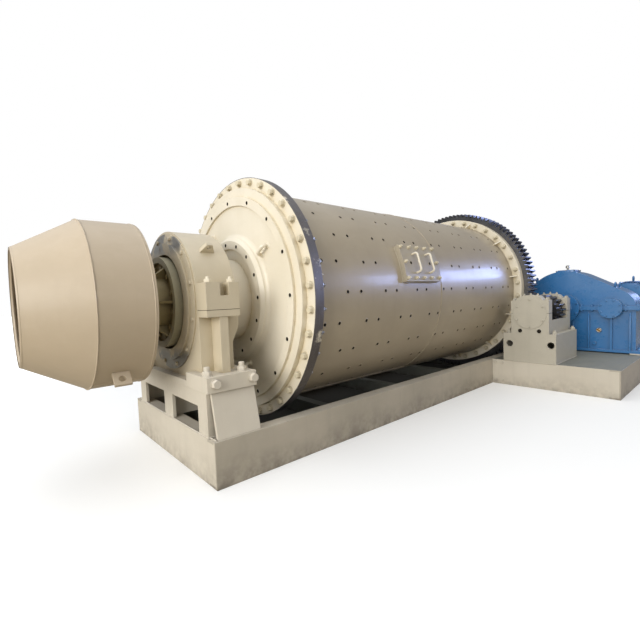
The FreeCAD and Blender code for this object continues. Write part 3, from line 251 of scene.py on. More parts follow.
def newGroup(name, colours, numbers, results):
    tree = bpy.data.node_groups.new(name, "ShaderNodeTree")
    kinds = {"Color": "Color", "Normal": "Vector"}
    sockets = [(label, "INPUT", "Color") for label in colours]
    sockets += [(label, "INPUT", "Float") for label in numbers]
    sockets += [(label, "OUTPUT", kinds.get(label, "Float")) for label in results]
    for label, way, kind in sockets:
        tree.interface.new_socket(name=label, in_out=way, socket_type="NodeSocket" + kind)
    return tree, tree.nodes.new("NodeGroupInput").outputs, tree.nodes.new("NodeGroupOutput")


def surfaceFacts(tree, edgeWidth, reach):
    # rounded normal, how sharp the edge is here, and how deep in a corner the point lies
    soft = wire(tree, "ShaderNodeBevel", {"Radius": edgeWidth}, samples=4).outputs["Normal"]
    flat = wire(tree, "ShaderNodeNewGeometry").outputs["Normal"]
    edge = fade(tree, vectorMath(tree, "DOT_PRODUCT", soft, flat), 0.99, 0.88)
    openness = wire(tree, "ShaderNodeAmbientOcclusion", {"Distance": reach}, samples=6)
    return soft, edge, fade(tree, openness.outputs["AO"], 0.80, 0.25)


def giveResults(tree, wanted, colour, roughness, relief, soft):
    bump = wire(tree, "ShaderNodeBump", {"Strength": 0.9, "Distance": 1.0, "Height": relief,
                                         "Normal": soft})
    fill(tree, wanted, {"Color": colour, "Roughness": roughness, "Normal": bump.outputs[0]})


def makePaintWear():
    tree, given, wanted = newGroup("paintWear", (*paintLabels[:4], "Primer"), paintLabels[4:],
                                   ("Color", "Roughness", "Normal"))
    place = coords(tree, "Object")
    soft, edge, corner = surfaceFacts(tree, 0.0035, 0.07)
    facing = axisOf(tree, coords(tree, "Normal"), "Z")
    cloud = noise(tree, place, 1.4, 4.0, 0.55)
    mottle = noise(tree, place, 17.0, 6.0, 0.6)
    fine = noise(tree, place, 240.0, 2.0)
    runs = noise(tree, vectorMath(tree, "MULTIPLY", place, (6.0, 6.0, 0.45)), 2.2, 4.0, 0.6)
    smears = noise(tree, vectorMath(tree, "MULTIPLY", place, (1.0, 1.0, 2.6)), 3.6, 7.0, 0.68)
    chipField = noise(tree, place, 42.0, 5.0, 0.65)
    spotField = noise(tree, place, 13.0, 9.0, 0.8)
    upright = mathNode(tree, "SUBTRACT", 1.0, mathNode(tree, "ABSOLUTE", facing))
    runMask = times(tree, fade(tree, runs, 0.52, 0.74), upright, given["Streaks"])
    dustMask = times(tree, fade(tree, facing, 0.2, 0.95), fade(tree, mottle, 0.2, 0.62),
                     given["Dustiness"])
    # grime splashed up from the floor, and painted shade settled in corners from the occlusion mask,
    # both in the grime colour
    low = plus(tree, axisOf(tree, place, "Z"), times(tree, plus(tree, cloud, -0.5), 0.3))
    splash = times(tree, fade(tree, low, 0.15, -0.03), fade(tree, mottle, 0.34, 0.62))
    settledGrimeAndShade = plus(tree, splash, times(tree, corner, fade(tree, mottle, 0.2, 0.7)))
    grimeAndCornerShade = mathNode(tree, "MULTIPLY", settledGrimeAndShade, given["GrimeAndShadeAmount"], clamp=True)
    edgeChips = times(tree, edge, fade(tree, chipField, 0.60, 0.64))
    spotChips = fade(tree, spotField, 0.755, 0.77)
    chipMask = times(tree, mathNode(tree, "MAXIMUM", edgeChips, spotChips), given["Chips"])
    smearMask = fade(tree, smears, 0.50, 0.72)
    colour = layered(
        tree, given["Shade"], (fade(tree, cloud, 0.36, 0.64), given["Paint"]),
        (times(tree, smearMask, 0.45), given["Shade"]),
        (times(tree, fade(tree, mottle, 0.54, 0.75), 0.10), given["Dust"]),
        (times(tree, runMask, 0.55), given["GrimeAndShadeColour"]), (dustMask, given["Dust"]),
        (times(tree, edge, 0.28), given["Dust"]), (grimeAndCornerShade, given["GrimeAndShadeColour"]),
        (chipMask, given["Primer"]))
    roughness = plus(tree, given["Gloss"], times(tree, dustMask, 0.32), times(tree, runMask, 0.12),
                     times(tree, grimeAndCornerShade, 0.35), times(tree, plus(tree, mottle, -0.5), 0.16),
                     times(tree, smearMask, 0.09), times(tree, chipMask, 0.2))
    relief = plus(tree, times(tree, fine, 0.00009), times(tree, mottle, 0.0003),
                  times(tree, cloud, given["Wave"], 0.006),
                  times(tree, smears, given["Wave"], 0.0012), times(tree, chipMask, -0.0003))
    giveResults(tree, wanted, colour, mathNode(tree, "MAXIMUM", roughness, 0.08), relief, soft)
    return tree


def makeBarePatina():
    tree, given, wanted = newGroup("barePatina", metalLabels[:3], metalLabels[3:],
                                   ("Color", "Roughness", "Metallic", "Normal"))
    place = coords(tree, "Object")
    soft, edge, corner = surfaceFacts(tree, 0.0025, 0.05)
    cloud = noise(tree, place, 3.0, 5.0, 0.6)
    spots = noise(tree, place, 21.0, 8.0, 0.72)
    grain = noise(tree, place, 190.0, 3.0)
    lines = noise(tree, vectorMath(tree, "MULTIPLY", place, (420.0, 4.0, 4.0)), 1.0, 2.0)
    rusty = mathNode(tree, "MULTIPLY", plus(tree, fade(tree, spots, 0.54, 0.66),
                                            times(tree, corner, 0.7)), given["Rustiness"], clamp=True)
    smear = times(tree, fade(tree, cloud, 0.42, 0.66), given["Smears"])
    colour = layered(tree, given["Metal"], (smear, given["Dark"]),
                     (times(tree, edge, 0.45), given["Metal"]), (rusty, given["Rust"]))
    roughness = plus(tree, given["Gloss"], times(tree, rusty, 0.4), times(tree, smear, -0.08),
                     times(tree, plus(tree, spots, -0.5), 0.25))
    relief = plus(tree, times(tree, grain, 0.00012), times(tree, rusty, 0.0003),
                  times(tree, lines, given["Turned"], 0.0002))
    giveResults(tree, wanted, colour, mathNode(tree, "MAXIMUM", roughness, 0.12), relief, soft)
    fill(tree, wanted, {"Metallic": mathNode(tree, "SUBTRACT", 1.0, times(tree, rusty, 0.9),
                                             clamp=True)})
    return tree


paintWear = makePaintWear()
barePatina = makeBarePatina()

primer = (0.13, 0.085, 0.055)
paints = {
    # paint, shade, dust, grime colour (also the painted corner shade), gloss, dustiness, griminess with
    # painted corner shade, streaks, chips, wave, coat
    "headCream": ((0.745, 0.685, 0.56), (0.675, 0.61, 0.475), (0.80, 0.76, 0.66), (0.50, 0.385, 0.18),
                  0.36, 0.30, 1.0, 0.10, 0.35, 0.35, 0.15),
    "shellTaupe": ((0.40, 0.338, 0.245), (0.345, 0.29, 0.209), (0.46, 0.40, 0.31), (0.13, 0.11, 0.075),
                   0.37, 0.35, 0.40, 0.15, 0.12, 0.45, 0.17),
    "feederTaupe": ((0.47, 0.385, 0.275), (0.42, 0.343, 0.243), (0.56, 0.48, 0.38), (0.22, 0.17, 0.11),
                    0.48, 0.30, 0.35, 0.12, 0.15, 0.40, 0.05),
    "bearingCream": ((0.56, 0.49, 0.36), (0.495, 0.43, 0.31), (0.64, 0.575, 0.455), (0.36, 0.28, 0.145),
                     0.40, 0.35, 0.85, 0.12, 0.4, 0.50, 0.10),
    "beamCream": ((0.62, 0.57, 0.475), (0.55, 0.50, 0.41), (0.69, 0.64, 0.56), (0.25, 0.22, 0.175),
                  0.44, 0.40, 0.55, 0.18, 0.6, 0.25, 0.05),
    # a darker copy of the beam cream for the side faces turned from the light: painted shade
    "beamSideShaded": ((0.47, 0.42, 0.34), (0.39, 0.35, 0.28), (0.60, 0.56, 0.48), (0.19, 0.165, 0.13),
                 0.46, 0.45, 0.75, 0.22, 0.7, 0.25, 0.03),
    "hatchTaupe": ((0.385, 0.335, 0.25), (0.34, 0.295, 0.218), (0.66, 0.59, 0.44), (0.20, 0.165, 0.10),
                   0.50, 0.30, 0.65, 0.10, 0.3, 0.25, 0.03),
    "stationGrey": ((0.49, 0.455, 0.37), (0.43, 0.395, 0.32), (0.58, 0.54, 0.455), (0.19, 0.165, 0.125),
                    0.42, 0.40, 0.55, 0.15, 0.5, 0.25, 0.08),
    # a darker copy of the head cream: painted shade, so the cream bolts stand out from the head
    "boltCreamShaded": ((0.66, 0.585, 0.42), (0.52, 0.455, 0.32), (0.82, 0.76, 0.62), (0.16, 0.125, 0.07),
                  0.40, 0.50, 1.0, 0.0, 0.5, 0.0, 0.10),
    "pocketOlive": ((0.30, 0.24, 0.11), (0.22, 0.175, 0.08), (0.42, 0.35, 0.20), (0.08, 0.062, 0.03),
                    0.45, 0.35, 0.70, 0.10, 0.4, 0.2, 0.0),
    "reducerBlue": ((0.036, 0.178, 0.42), (0.030, 0.15, 0.365), (0.17, 0.27, 0.40), (0.02, 0.028, 0.04),
                    0.28, 0.25, 0.60, 0.10, 0.0, 0.25, 0.35),
    "motorBlue": ((0.040, 0.18, 0.42), (0.034, 0.152, 0.365), (0.17, 0.27, 0.40), (0.02, 0.028, 0.04),
                  0.32, 0.25, 0.55, 0.10, 0.0, 0.15, 0.2),
    "deckGreen": ((0.185, 0.19, 0.16), (0.145, 0.15, 0.128), (0.30, 0.29, 0.24), (0.085, 0.075, 0.06),
                  0.55, 0.55, 0.60, 0.0, 0.5, 0.40, 0.0),
    "endOlive": ((0.34, 0.31, 0.20), (0.26, 0.235, 0.15), (0.46, 0.42, 0.30), (0.12, 0.10, 0.06),
                 0.40, 0.40, 0.80, 0.10, 0.5, 0.2, 0.05),
    "guardCream": ((0.50, 0.45, 0.34), (0.43, 0.385, 0.29), (0.60, 0.55, 0.45), (0.18, 0.15, 0.11),
                   0.40, 0.40, 0.55, 0.15, 0.4, 0.3, 0.08),
}
metals = {
    # metal, dark, rust, gloss, rustiness, smears, turned
    "bareSteel": ((0.33, 0.33, 0.32), (0.19, 0.185, 0.17), (0.20, 0.12, 0.07), 0.42, 0.45, 0.6, 0.4),
    "sealSteel": ((0.42, 0.41, 0.37), (0.25, 0.235, 0.19), (0.22, 0.14, 0.08), 0.40, 0.40, 0.7, 0.5),
    "gearSteel": ((0.115, 0.115, 0.12), (0.045, 0.045, 0.048), (0.09, 0.06, 0.04), 0.40, 0.30,
                  0.8, 0.1),
    "turnedSteel": ((0.55, 0.55, 0.54), (0.34, 0.33, 0.31), (0.24, 0.14, 0.08), 0.26, 0.25, 0.5, 1.0),
    "rimSteel": ((0.215, 0.20, 0.195), (0.12, 0.11, 0.108), (0.14, 0.105, 0.08), 0.50, 0.40, 0.7, 0.25),
    "boltSteel": ((0.40, 0.39, 0.36), (0.22, 0.205, 0.175), (0.24, 0.14, 0.08), 0.42, 0.55, 0.6, 0.0),
    "bushBrass": ((0.62, 0.48, 0.22), (0.36, 0.27, 0.13), (0.16, 0.10, 0.05), 0.30, 0.15, 0.6, 1.0),
}
coatRoughness = 0.12
maskLimits = {"feedSide": (0.1, -0.1), "wornRim": (-0.0045, -0.0025), "journal": (1.752, 1.757),
              "ringBare": (0.27, 0.33), "deckTop": (0.7, 0.9)}


def finishNode(tree, name):
    # the shared finish with this row's values; a tuple is a colour
    bare = name in metals
    labels, row = (metalLabels, metals[name]) if bare else (paintLabels, paints[name])
    values = {label: opaque(value) if isinstance(value, tuple) else value
              for label, value in zip(labels, row)}
    if not bare:
        values["Primer"] = opaque(primer)
    return wire(tree, "ShaderNodeGroup", values, node_tree=barePatina if bare else paintWear).outputs


def plainFinish(name):
    material, tree, shader = newMaterial(name)
    source = finishNode(tree, name)
    fill(tree, shader, {"Base Color": source["Color"], "Roughness": source["Roughness"],
                        "Normal": source["Normal"]})
    if name in metals:
        fill(tree, shader, {"Metallic": source["Metallic"]})
    else:
        fill(tree, shader, {"Coat Weight": paints[name][-1], "Coat Roughness": coatRoughness})
    return material


def flangeMask(tree, place):
    # scuffed bare plate at the feed end only
    patch = fade(tree, noise(tree, place, 4.5, 6.0, 0.7), 0.36, 0.44)
    return times(tree, fade(tree, axisOf(tree, place, "X"), *maskLimits["feedSide"]), patch)


def edgeMask(tree, place):
    # the worn rim of the feed head, outside its cream face
    flat = vectorMath(tree, "MULTIPLY", place, (0.0, 1.0, 1.0))
    moved = vectorMath(tree, "ADD", flat, (0.0, 0.0, -float(millAxis[2])))
    start, end = (float(corners("feed_head")[1][1]) + step for step in maskLimits["wornRim"])
    return times(tree, fade(tree, vectorMath(tree, "LENGTH", moved), start, end),
                 flangeMask(tree, place))


def journalMask(tree, place):
    # cream hub, bare journal and end
    return fade(tree, mathNode(tree, "ABSOLUTE", axisOf(tree, place, "X")), *maskLimits["journal"])


def ringMask(tree, place):
    # bare patches at the top and the foot of each ring
    patch = fade(tree, noise(tree, place, 6.0, 5.0, 0.6), 0.43, 0.49)
    rise = plus(tree, axisOf(tree, place, "Z"), -float(millAxis[2]))
    return times(tree, fade(tree, mathNode(tree, "ABSOLUTE", rise), *maskLimits["ringBare"]), patch)


def deckMask(tree, place):
    # the tops of the drive beams carry the deck's colour
    return fade(tree, axisOf(tree, coords(tree, "Normal"), "Z"), *maskLimits["deckTop"])


def twoPart(name, under, over, makeMask):
    # one finish laid over another where the mask says; a bare one adds its metallic value
    material, tree, shader = newMaterial(name)
    first, second = finishNode(tree, under), finishNode(tree, over)
    mask = makeMask(tree, coords(tree, "Object"))
    rough = wire(tree, "ShaderNodeMix", {0: mask, 2: first["Roughness"], 3: second["Roughness"]},
                 data_type="FLOAT").outputs[0]
    fill(tree, shader, {"Base Color": layered(tree, first["Color"], (mask, second["Color"])),
                        "Roughness": rough, "Normal": first["Normal"]})
    if over in metals:
        fill(tree, shader, {"Metallic": times(tree, mask, second["Metallic"])})
    return material


def hollowFinish():
    # painted shade for the inside of a hole: near black, with a trace of brown dust
    material, tree, shader = newMaterial("hollowDark")
    dust = fade(tree, noise(tree, coords(tree, "Object"), 60.0, 4.0), 0.45, 0.75)
    bump = wire(tree, "ShaderNodeBump", {"Strength": 0.6, "Distance": 0.002, "Height": dust})
    fill(tree, shader, {
        "Base Color": layered(tree, (0.012, 0.010, 0.008, 1.0), (dust, (0.045, 0.036, 0.026, 1.0))),
        "Normal": bump.outputs[0], "Roughness": 0.9, "Specular IOR Level": 0.1})
    return material


def glassFinish():
    material, tree, shader = newMaterial("gaugeGlass")
    haze = fade(tree, noise(tree, coords(tree, "Object"), 50.0, 5.0), 0.4, 0.8)
    fill(tree, shader, {
        "Base Color": layered(tree, (0.32, 0.17, 0.04, 1.0), (haze, (0.45, 0.33, 0.18, 1.0))),
        "Roughness": plus(tree, times(tree, haze, 0.3), 0.06), "Coat Weight": 0.6})
    return material


mixedFinishes = {
    # under, over, mask
    "flangeEnamel": ("headCream", "rimSteel", flangeMask),
    "headFinish": ("headCream", "rimSteel", edgeMask),
    "trunnionFinish": ("headCream", "endOlive", journalMask),
    "ringFinish": ("bearingCream", "bareSteel", ringMask),
    "driveBeam": ("beamCream", "deckGreen", deckMask),
    # the drive side beam wears the darker side copy under the deck colour: painted shade
    "driveSideShaded": ("beamSideShaded", "deckGreen", deckMask),
}
finishes = {name: plainFinish(name) for name in (*paints, *metals)}
finishes.update({name: twoPart(name, *row) for name, row in mixedFinishes.items()})
finishes["hollowDark"] = hollowFinish()
finishes["gaugeGlass"] = glassFinish()

# the nodes of the frame that wear each finish
finishNodes = {
    "shellTaupe": "shell", "flangeEnamel": "shell_flanges",
    "headCream": "flange_gussets head_lifting_lugs manhole_handles",
    "headFinish": "feed_head discharge_head",
    "trunnionFinish": "feed_trunnion discharge_trunnion",
    "bearingCream": "feed_bearing_housing feed_bearing_cap discharge_bearing_housing "
                    "discharge_bearing_cap cap_lifting_eyes",
    "beamCream": "feed_stand discharge_stand stand_braces sole_plates base_end_beams "
                 "drive_cross_beams reducer_rails motor_pedestal",
    # the cross beams inside the base take the dark deck finish: painted shade for the inside of the
    # base
    "beamSideShaded": "base_side_beams", "deckGreen": "base_cross_beams drive_deck",
    # the drive side beam, like the base side beams, wears the darker copy of the beam cream: painted
    # shade
    "driveSideShaded": "drive_side_beam", "driveBeam": "drive_inner_beam drive_front_beam drive_rear_beam",
    "pocketOlive": "feeder_neck",
    "feederTaupe": "feeder_back_plate feeder_cylinder feeder_cone feeder_lug",
    "hatchTaupe": "manhole_frame manhole_cover", "gearSteel": "girth_gear pinion",
    "turnedSteel": "pinion_shaft reducer_output_shaft", "bushBrass": "bearing_bushes",
    "ringFinish": "seal_rings", "bareSteel": "high_speed_coupling", "guardCream": "coupling_guard",
    "stationGrey": "pinion_stand pinion_sole_plate pinion_bearing_blocks pinion_bearing_caps "
                   "pinion_shaft_covers pinion_trough",
    "reducerBlue": "low_speed_coupling reducer_upper_case reducer_lower_case "
                   "reducer_bearing_covers",
    "motorBlue": "motor_frame motor_end_cover motor_fan_cowl motor_terminal_box",
}
finishOf = {node: name for name, nodes in finishNodes.items() for node in nodes.split()}
for node, item in frame["nodes"].items():
    item.data.materials.clear()
    item.data.materials.append(finishes[finishOf[node]])
print("finishes made:", len(finishes))


# mesh helpers: every shape is worked out as whole arrays

def aim(degrees):
    # unit vectors square to the mill axis, turned up from the drive side
    turn = np.radians(np.atleast_1d(np.asarray(degrees, float)))
    return np.stack([np.zeros_like(turn), -np.cos(turn), np.sin(turn)], -1)


def onCircle(x, radius, degrees, centre=millAxis):
    return centre + np.array([x, 0.0, 0.0]) + radius * aim(degrees)


def unit(vectors):
    return vectors / np.linalg.norm(vectors, axis=-1, keepdims=True)


def latheField(profile, places, directions, turns=12, ring=False):
    # many turned shapes at once: point = place + direction * height + reach * (cos t * side
    # + sin t * across), where reach is the row's radius, drawn in to a hexagon by its third value
    rows = np.array([(*row, 0.0)[:3] for row in profile], float)
    heights, radii, hexed = rows.T
    places = np.asarray(places, float).reshape(-1, 3)
    directions = np.broadcast_to(np.asarray(directions, float), places.shape)
    turn = 2 * np.pi * np.arange(turns) / turns
    drawn = math.cos(math.pi / 6) / np.cos(turn % (math.pi / 3) - math.pi / 6)
    reach = radii[:, None] * (1 - hexed[:, None] + hexed[:, None] * drawn)
    helper = np.where(np.abs(directions[:, :1]) < 0.9, [[1.0, 0, 0]], [[0, 1.0, 0]])
    side = unit(np.cross(directions, helper))
    across = np.cross(directions, side)
    circle = (np.cos(turn)[:, None] * side[:, None] + np.sin(turn)[:, None] * across[:, None])
    points = (places[:, None, None] + directions[:, None, None] * heights[:, None, None]
              + reach[None, :, :, None] * circle[:, None])
    count, levels = len(places), len(rows)
    index = np.arange(count * levels * turns).reshape(count, levels, turns)
    upper = np.roll(index, -1, 1) if ring else index[:, 1:]
    lower = index if ring else index[:, :-1]
    quads = np.stack([lower, np.roll(lower, -1, 2), np.roll(upper, -1, 2), upper], -1)
    faces = quads.reshape(-1, 4).tolist()
    if not ring:
        faces += index[:, 0, ::-1].tolist() + index[:, -1].tolist()
    return points.reshape(-1, 3), faces


def prismField(outline, origins, sideways, upward, along, depth):
    # many flat plates at once: point = origin + a * sideways + b * upward, and again at depth
    outline = np.asarray(outline, float)
    origins = np.asarray(origins, float).reshape(-1, 3)
    axes = [np.broadcast_to(np.asarray(axis, float), origins.shape)
            for axis in (sideways, upward, along)]
    flat = (origins[:, None] + outline[:, :1] * axes[0][:, None] + outline[:, 1:] * axes[1][:, None])
    points = np.stack([flat, flat + depth * axes[2][:, None]], 1)
    count, size = len(origins), len(outline)
    index = np.arange(count * 2 * size).reshape(count, 2, size)
    near, far = index[:, 0], index[:, 1]
    walls = np.stack([near, np.roll(near, -1, 1), np.roll(far, -1, 1), far], -1)
    faces = walls.reshape(-1, 4).tolist() + near[:, ::-1].tolist() + far.tolist()
    return points.reshape(-1, 3), faces


def sweptTube(path, radii, turns=8, closed=False, aside=(0.31, 0.52, 0.79)):
    # a round section carried along a path: point = path + radius * (cos t * side + sin t * across)
    path = np.asarray(path, float)
    if closed:
        tangent = unit(np.roll(path, -1, 0) - np.roll(path, 1, 0))
    else:
        tangent = unit(np.gradient(path, axis=0))
    side = unit(np.cross(tangent, np.broadcast_to(np.asarray(aside, float), path.shape)))
    across = np.cross(tangent, side)
    turn = 2 * np.pi * np.arange(turns) / turns
    radii = np.broadcast_to(np.asarray(radii, float), (len(path),))
    points = path[:, None] + radii[:, None, None] * (np.cos(turn)[:, None] * side[:, None]
                                                     + np.sin(turn)[:, None] * across[:, None])
    index = np.arange(len(path) * turns).reshape(-1, turns)
    upper = np.roll(index, -1, 0) if closed else index[1:]
    lower = index if closed else index[:-1]
    quads = np.stack([lower, np.roll(lower, -1, 1), np.roll(upper, -1, 1), upper], -1)
    faces = quads.reshape(-1, 4).tolist()
    if not closed:
        faces += [index[0, ::-1].tolist(), index[-1].tolist()]
    return points.reshape(-1, 3), faces


def weldBead(path, size, closed=False):
    # a rippled bead: the path is cut into even steps and the section swells and sinks along it
    path = np.asarray(path, float)
    if closed:
        path = np.vstack([path, path[:1]])
    run = np.concatenate([[0.0], np.cumsum(np.linalg.norm(np.diff(path, axis=0), axis=1))])
    count = max(int(run[-1] / 0.008), 4)
    step = np.linspace(0, run[-1], count, endpoint=not closed)
    even = np.stack([np.interp(step, run, path[:, axis]) for axis in range(3)], -1)
    ripple = size * (1 + 0.16 * np.sin(step * 390) + 0.10 * np.sin(step * 61 + 1.3))
    return sweptTube(even, ripple, turns=6, closed=closed)


def ringPath(x, radius, centre=millAxis, count=240):
    return onCircle(x, radius, np.arange(count) * 360.0 / count, centre)


def joined(parts):
    points, faces, start = [], [], 0
    for more, sides in parts:
        points.append(more)
        faces += [[corner + start for corner in side] for side in sides]
        start += len(more)
    return np.vstack(points), faces


def addPiece(name, body, finish, shape, bevel=0.0, sharp=32.0):
    points, faces = shape
    mesh = bpy.data.meshes.new(name)
    mesh.from_pydata(points.tolist(), [], faces)
    work = bmesh.new()
    work.from_mesh(mesh)
    bmesh.ops.recalc_face_normals(work, faces=work.faces)
    work.to_mesh(mesh)
    work.free()
    mesh.shade_smooth()
    mesh.set_sharp_from_angle(angle=math.radians(sharp))
    mesh.materials.append(finishes[finish])
    piece = bpy.data.objects.new(name, mesh)
    bpy.context.scene.collection.objects.link(piece)
    if bevel:
        edges = piece.modifiers.new("softEdges", "BEVEL")
        edges.width = bevel
        edges.segments = 2
        edges.limit_method = "ANGLE"
        edges.angle_limit = math.radians(40)
    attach(piece, body)
    return piece


def hexBolt(corner, height, washer=0.0):
    # washer, six-sided head and a turned chamfer: rows of (height, radius, hexed)
    rows = [(-0.003, corner * 1.22), (washer, corner * 1.22)] if washer else [(-0.003, corner, 1)]
    return rows + [(washer, corner, 1), (washer + height * 0.84, corner, 1),
                   (washer + height, corner * 0.84)]


def studNut(corner, height, washer, stud, tail):
    return [(-0.003, corner * 1.22), (washer, corner * 1.22), (washer, corner, 1),
            (washer + height * 0.86, corner, 1), (washer + height, corner * 0.86),
            (washer + height, stud), (washer + height + tail * 0.9, stud),
            (washer + height + tail, stud * 0.82)]


def holeRim(radius, width, rise):
    # a closed ring: the rounded lip round a drilled hole
    return [(-0.002, radius), (rise * 0.7, radius), (rise, radius + width * 0.3),
            (rise * 0.7, radius + width * 0.75), (-0.0005, radius + width), (-0.002, radius + width)]


def holeDisc(radius, rise):
    return [(-0.003, radius), (rise * 0.35, radius)]


def addHoles(name, body, finish, places, directions, radius, width, rise=0.0016, turns=12):
    addPiece(name + "Rims", body, finish,
             latheField(holeRim(radius, width, rise), places, directions, turns, ring=True))
    # a near black disc over each hole: painted shade standing in for its inside
    addPiece(name + "Bores", body, "hollowDark",
             latheField(holeDisc(radius * 1.02, rise), places, directions, turns))


def roundedBox(width, height, radius, steps=4):
    # outline of a rectangle with round corners, centred on the origin
    turn = np.linspace(0, np.pi / 2, steps)
    parts = []
    for index, (x, y) in enumerate(((1, 1), (-1, 1), (-1, -1), (1, -1))):
        angle = turn + index * np.pi / 2
        parts.append(np.stack([x * (width / 2 - radius) + radius * np.cos(angle),
                               y * (height / 2 - radius) + radius * np.sin(angle)], -1))
    return np.vstack(parts)


ends = (("feed", -1), ("discharge", 1))
quarters = ((-1, -1), (-1, 1), (1, -1), (1, 1))
xAxis, yAxis, zAxis = np.eye(3)


def evenly(count, phase=0.0):
    # angles of equal steps round a circle
    return phase + 360.0 / count * np.arange(count)


def mirrored(side, way, reach, y, z):
    # spots at each x of reach, in one quarter of the plan
    return np.array([(side * x, way * y, z) for x in reach])


# bolts of the two head joints

flangeBolts = {"count": 36, "phase": 4.5, "circle": 0.815, "corner": 0.0200, "head": 0.022,
               "nut": 0.019, "washer": 0.004, "stud": 0.0125, "tail": 0.016, "front": 0.033,
               "back": 0.032, "gearWeb": 0.034}


def makeFlangeBolts():
    values = flangeBolts
    angles = evenly(values["count"], values["phase"])
    low, high = corners("shell")
    head = hexBolt(values["corner"], values["head"], values["washer"])
    nut = studNut(values["corner"], values["nut"], values["washer"], values["stud"], values["tail"])
    for end, side in ends:
        edge = low[0] if side < 0 else high[0]
        front = edge + side * values["front"] + (values["gearWeb"] if side > 0 else 0.0)
        back = edge - side * values["back"]
        # the cream heads and nuts wear the darker, shaded copy of the head paint
        addPiece(f"{end}FlangeBoltHeads", "mill_drum", "boltCreamShaded" if side < 0 else "boltSteel",
                 latheField(head, onCircle(front, values["circle"], angles), (side, 0, 0)))
        addPiece(f"{end}FlangeNuts", "mill_drum", "boltSteel" if side < 0 else "boltCreamShaded",
                 latheField(nut, onCircle(back, values["circle"], angles), (-side, 0, 0)))


makeFlangeBolts()


# holes in the heads, the hubs and the shell

headHoles = {"count": 16, "phase": 1.0, "ringCircle": 0.684, "hubCircle": 0.386, "hubRise": 0.123,
             "radius": 0.0125, "rim": 0.006}
linerHoles = {"rows": 24, "phase": 1.5, "start": -1.136, "pitch": 0.382, "pair": 0.126,
              "radius": 0.0115, "rim": 0.0065, "limit": 1.39, "hatchSpan": (4, 29),
              "hatchMargin": 0.03}


def makeHeadHoles():
    values = headHoles
    angles = evenly(values["count"], values["phase"])
    for end, side in ends:
        head = corners(f"{end}_head")
        faceX = head[0][0] if side < 0 else head[1][0]
        hubX = side * (corners("shell")[1][0] + values["hubRise"])
        places = np.vstack([onCircle(faceX, values["ringCircle"], angles),
                            onCircle(hubX, values["hubCircle"], angles)])
        addHoles(f"{end}Head", "mill_drum", "headCream", places, (side, 0, 0), values["radius"],
                 values["rim"], 0.002)


def makeLinerHoles():
    # pairs of holes in rows along the shell, every other row half a pitch back
    values = linerHoles
    low, high = corners("manhole_frame")
    radius = corners("shell")[1][1]
    steps = np.arange(-1, 8) * values["pitch"] + values["start"]
    along = np.concatenate([steps, steps + values["pair"]])
    angle, x = np.meshgrid(evenly(values["rows"], values["phase"]), along, indexing="ij")
    x = x - (np.arange(values["rows"])[:, None] % 2) * values["pitch"] / 2
    angle, x = angle.ravel(), x.ravel()
    margin, (first, last) = values["hatchMargin"], values["hatchSpan"]
    hatch = (x > low[0] - margin) & (x < high[0] + margin) & (angle > first) & (angle < last)
    keep = (np.abs(x) < values["limit"]) & ~hatch
    directions = aim(angle[keep])
    places = millAxis + radius * directions + x[keep][:, None] * xAxis
    addHoles("liner", "mill_drum", "shellTaupe", places, directions, values["radius"],
             values["rim"], 0.0018)


makeHeadHoles()
makeLinerHoles()
print("head and shell holes made")


# manhole bolts

hatchAngles = (5.9, 26.9)
manholeBolts = {"insets": (0.020, 0.125, 0.224, 0.329, 0.438), "sideInsets": (0.026, 0.437),
                "high": 25.3, "low": 7.8, "middle": 16.7, "holeInsets": (0.092, 0.341),
                "holeAngle": 16.1, "corner": 0.0135, "head": 0.011, "washer": 0.003,
                "stud": 0.0075, "tail": 0.010, "holeRadius": 0.0125, "holeRim": 0.005}


def makeManholeBolts():
    values = manholeBolts
    low = corners("manhole_cover")[0]
    top = -low[1] / math.cos(math.radians(hatchAngles[0]))
    row, edge = (low[0] + np.array(values[key]) for key in ("insets", "sideInsets"))
    x = np.concatenate([row, row, edge])
    directions = aim([values["high"]] * len(row) + [values["low"]] * len(row)
                     + [values["middle"]] * len(edge))
    nut = studNut(values["corner"], values["head"], values["washer"], values["stud"], values["tail"])
    addPiece("manholeBolts", "mill_drum", "boltCreamShaded",
             latheField(nut, millAxis + top * directions + x[:, None] * xAxis, directions))
    x = low[0] + np.array(values["holeInsets"])
    directions = aim([values["holeAngle"]] * len(x))
    addHoles("manholeCover", "mill_drum", "hatchTaupe",
             millAxis + top * directions + x[:, None] * xAxis, directions, values["holeRadius"],
             values["holeRim"], 0.002)


makeManholeBolts()


# lifting staples on the heads

staples = {"angles": (36.0, 120.0, 210.0, 291.0), "inner": 0.478, "outer": 0.562, "rise": 0.056,
           "rod": 0.0115, "root": 0.071}


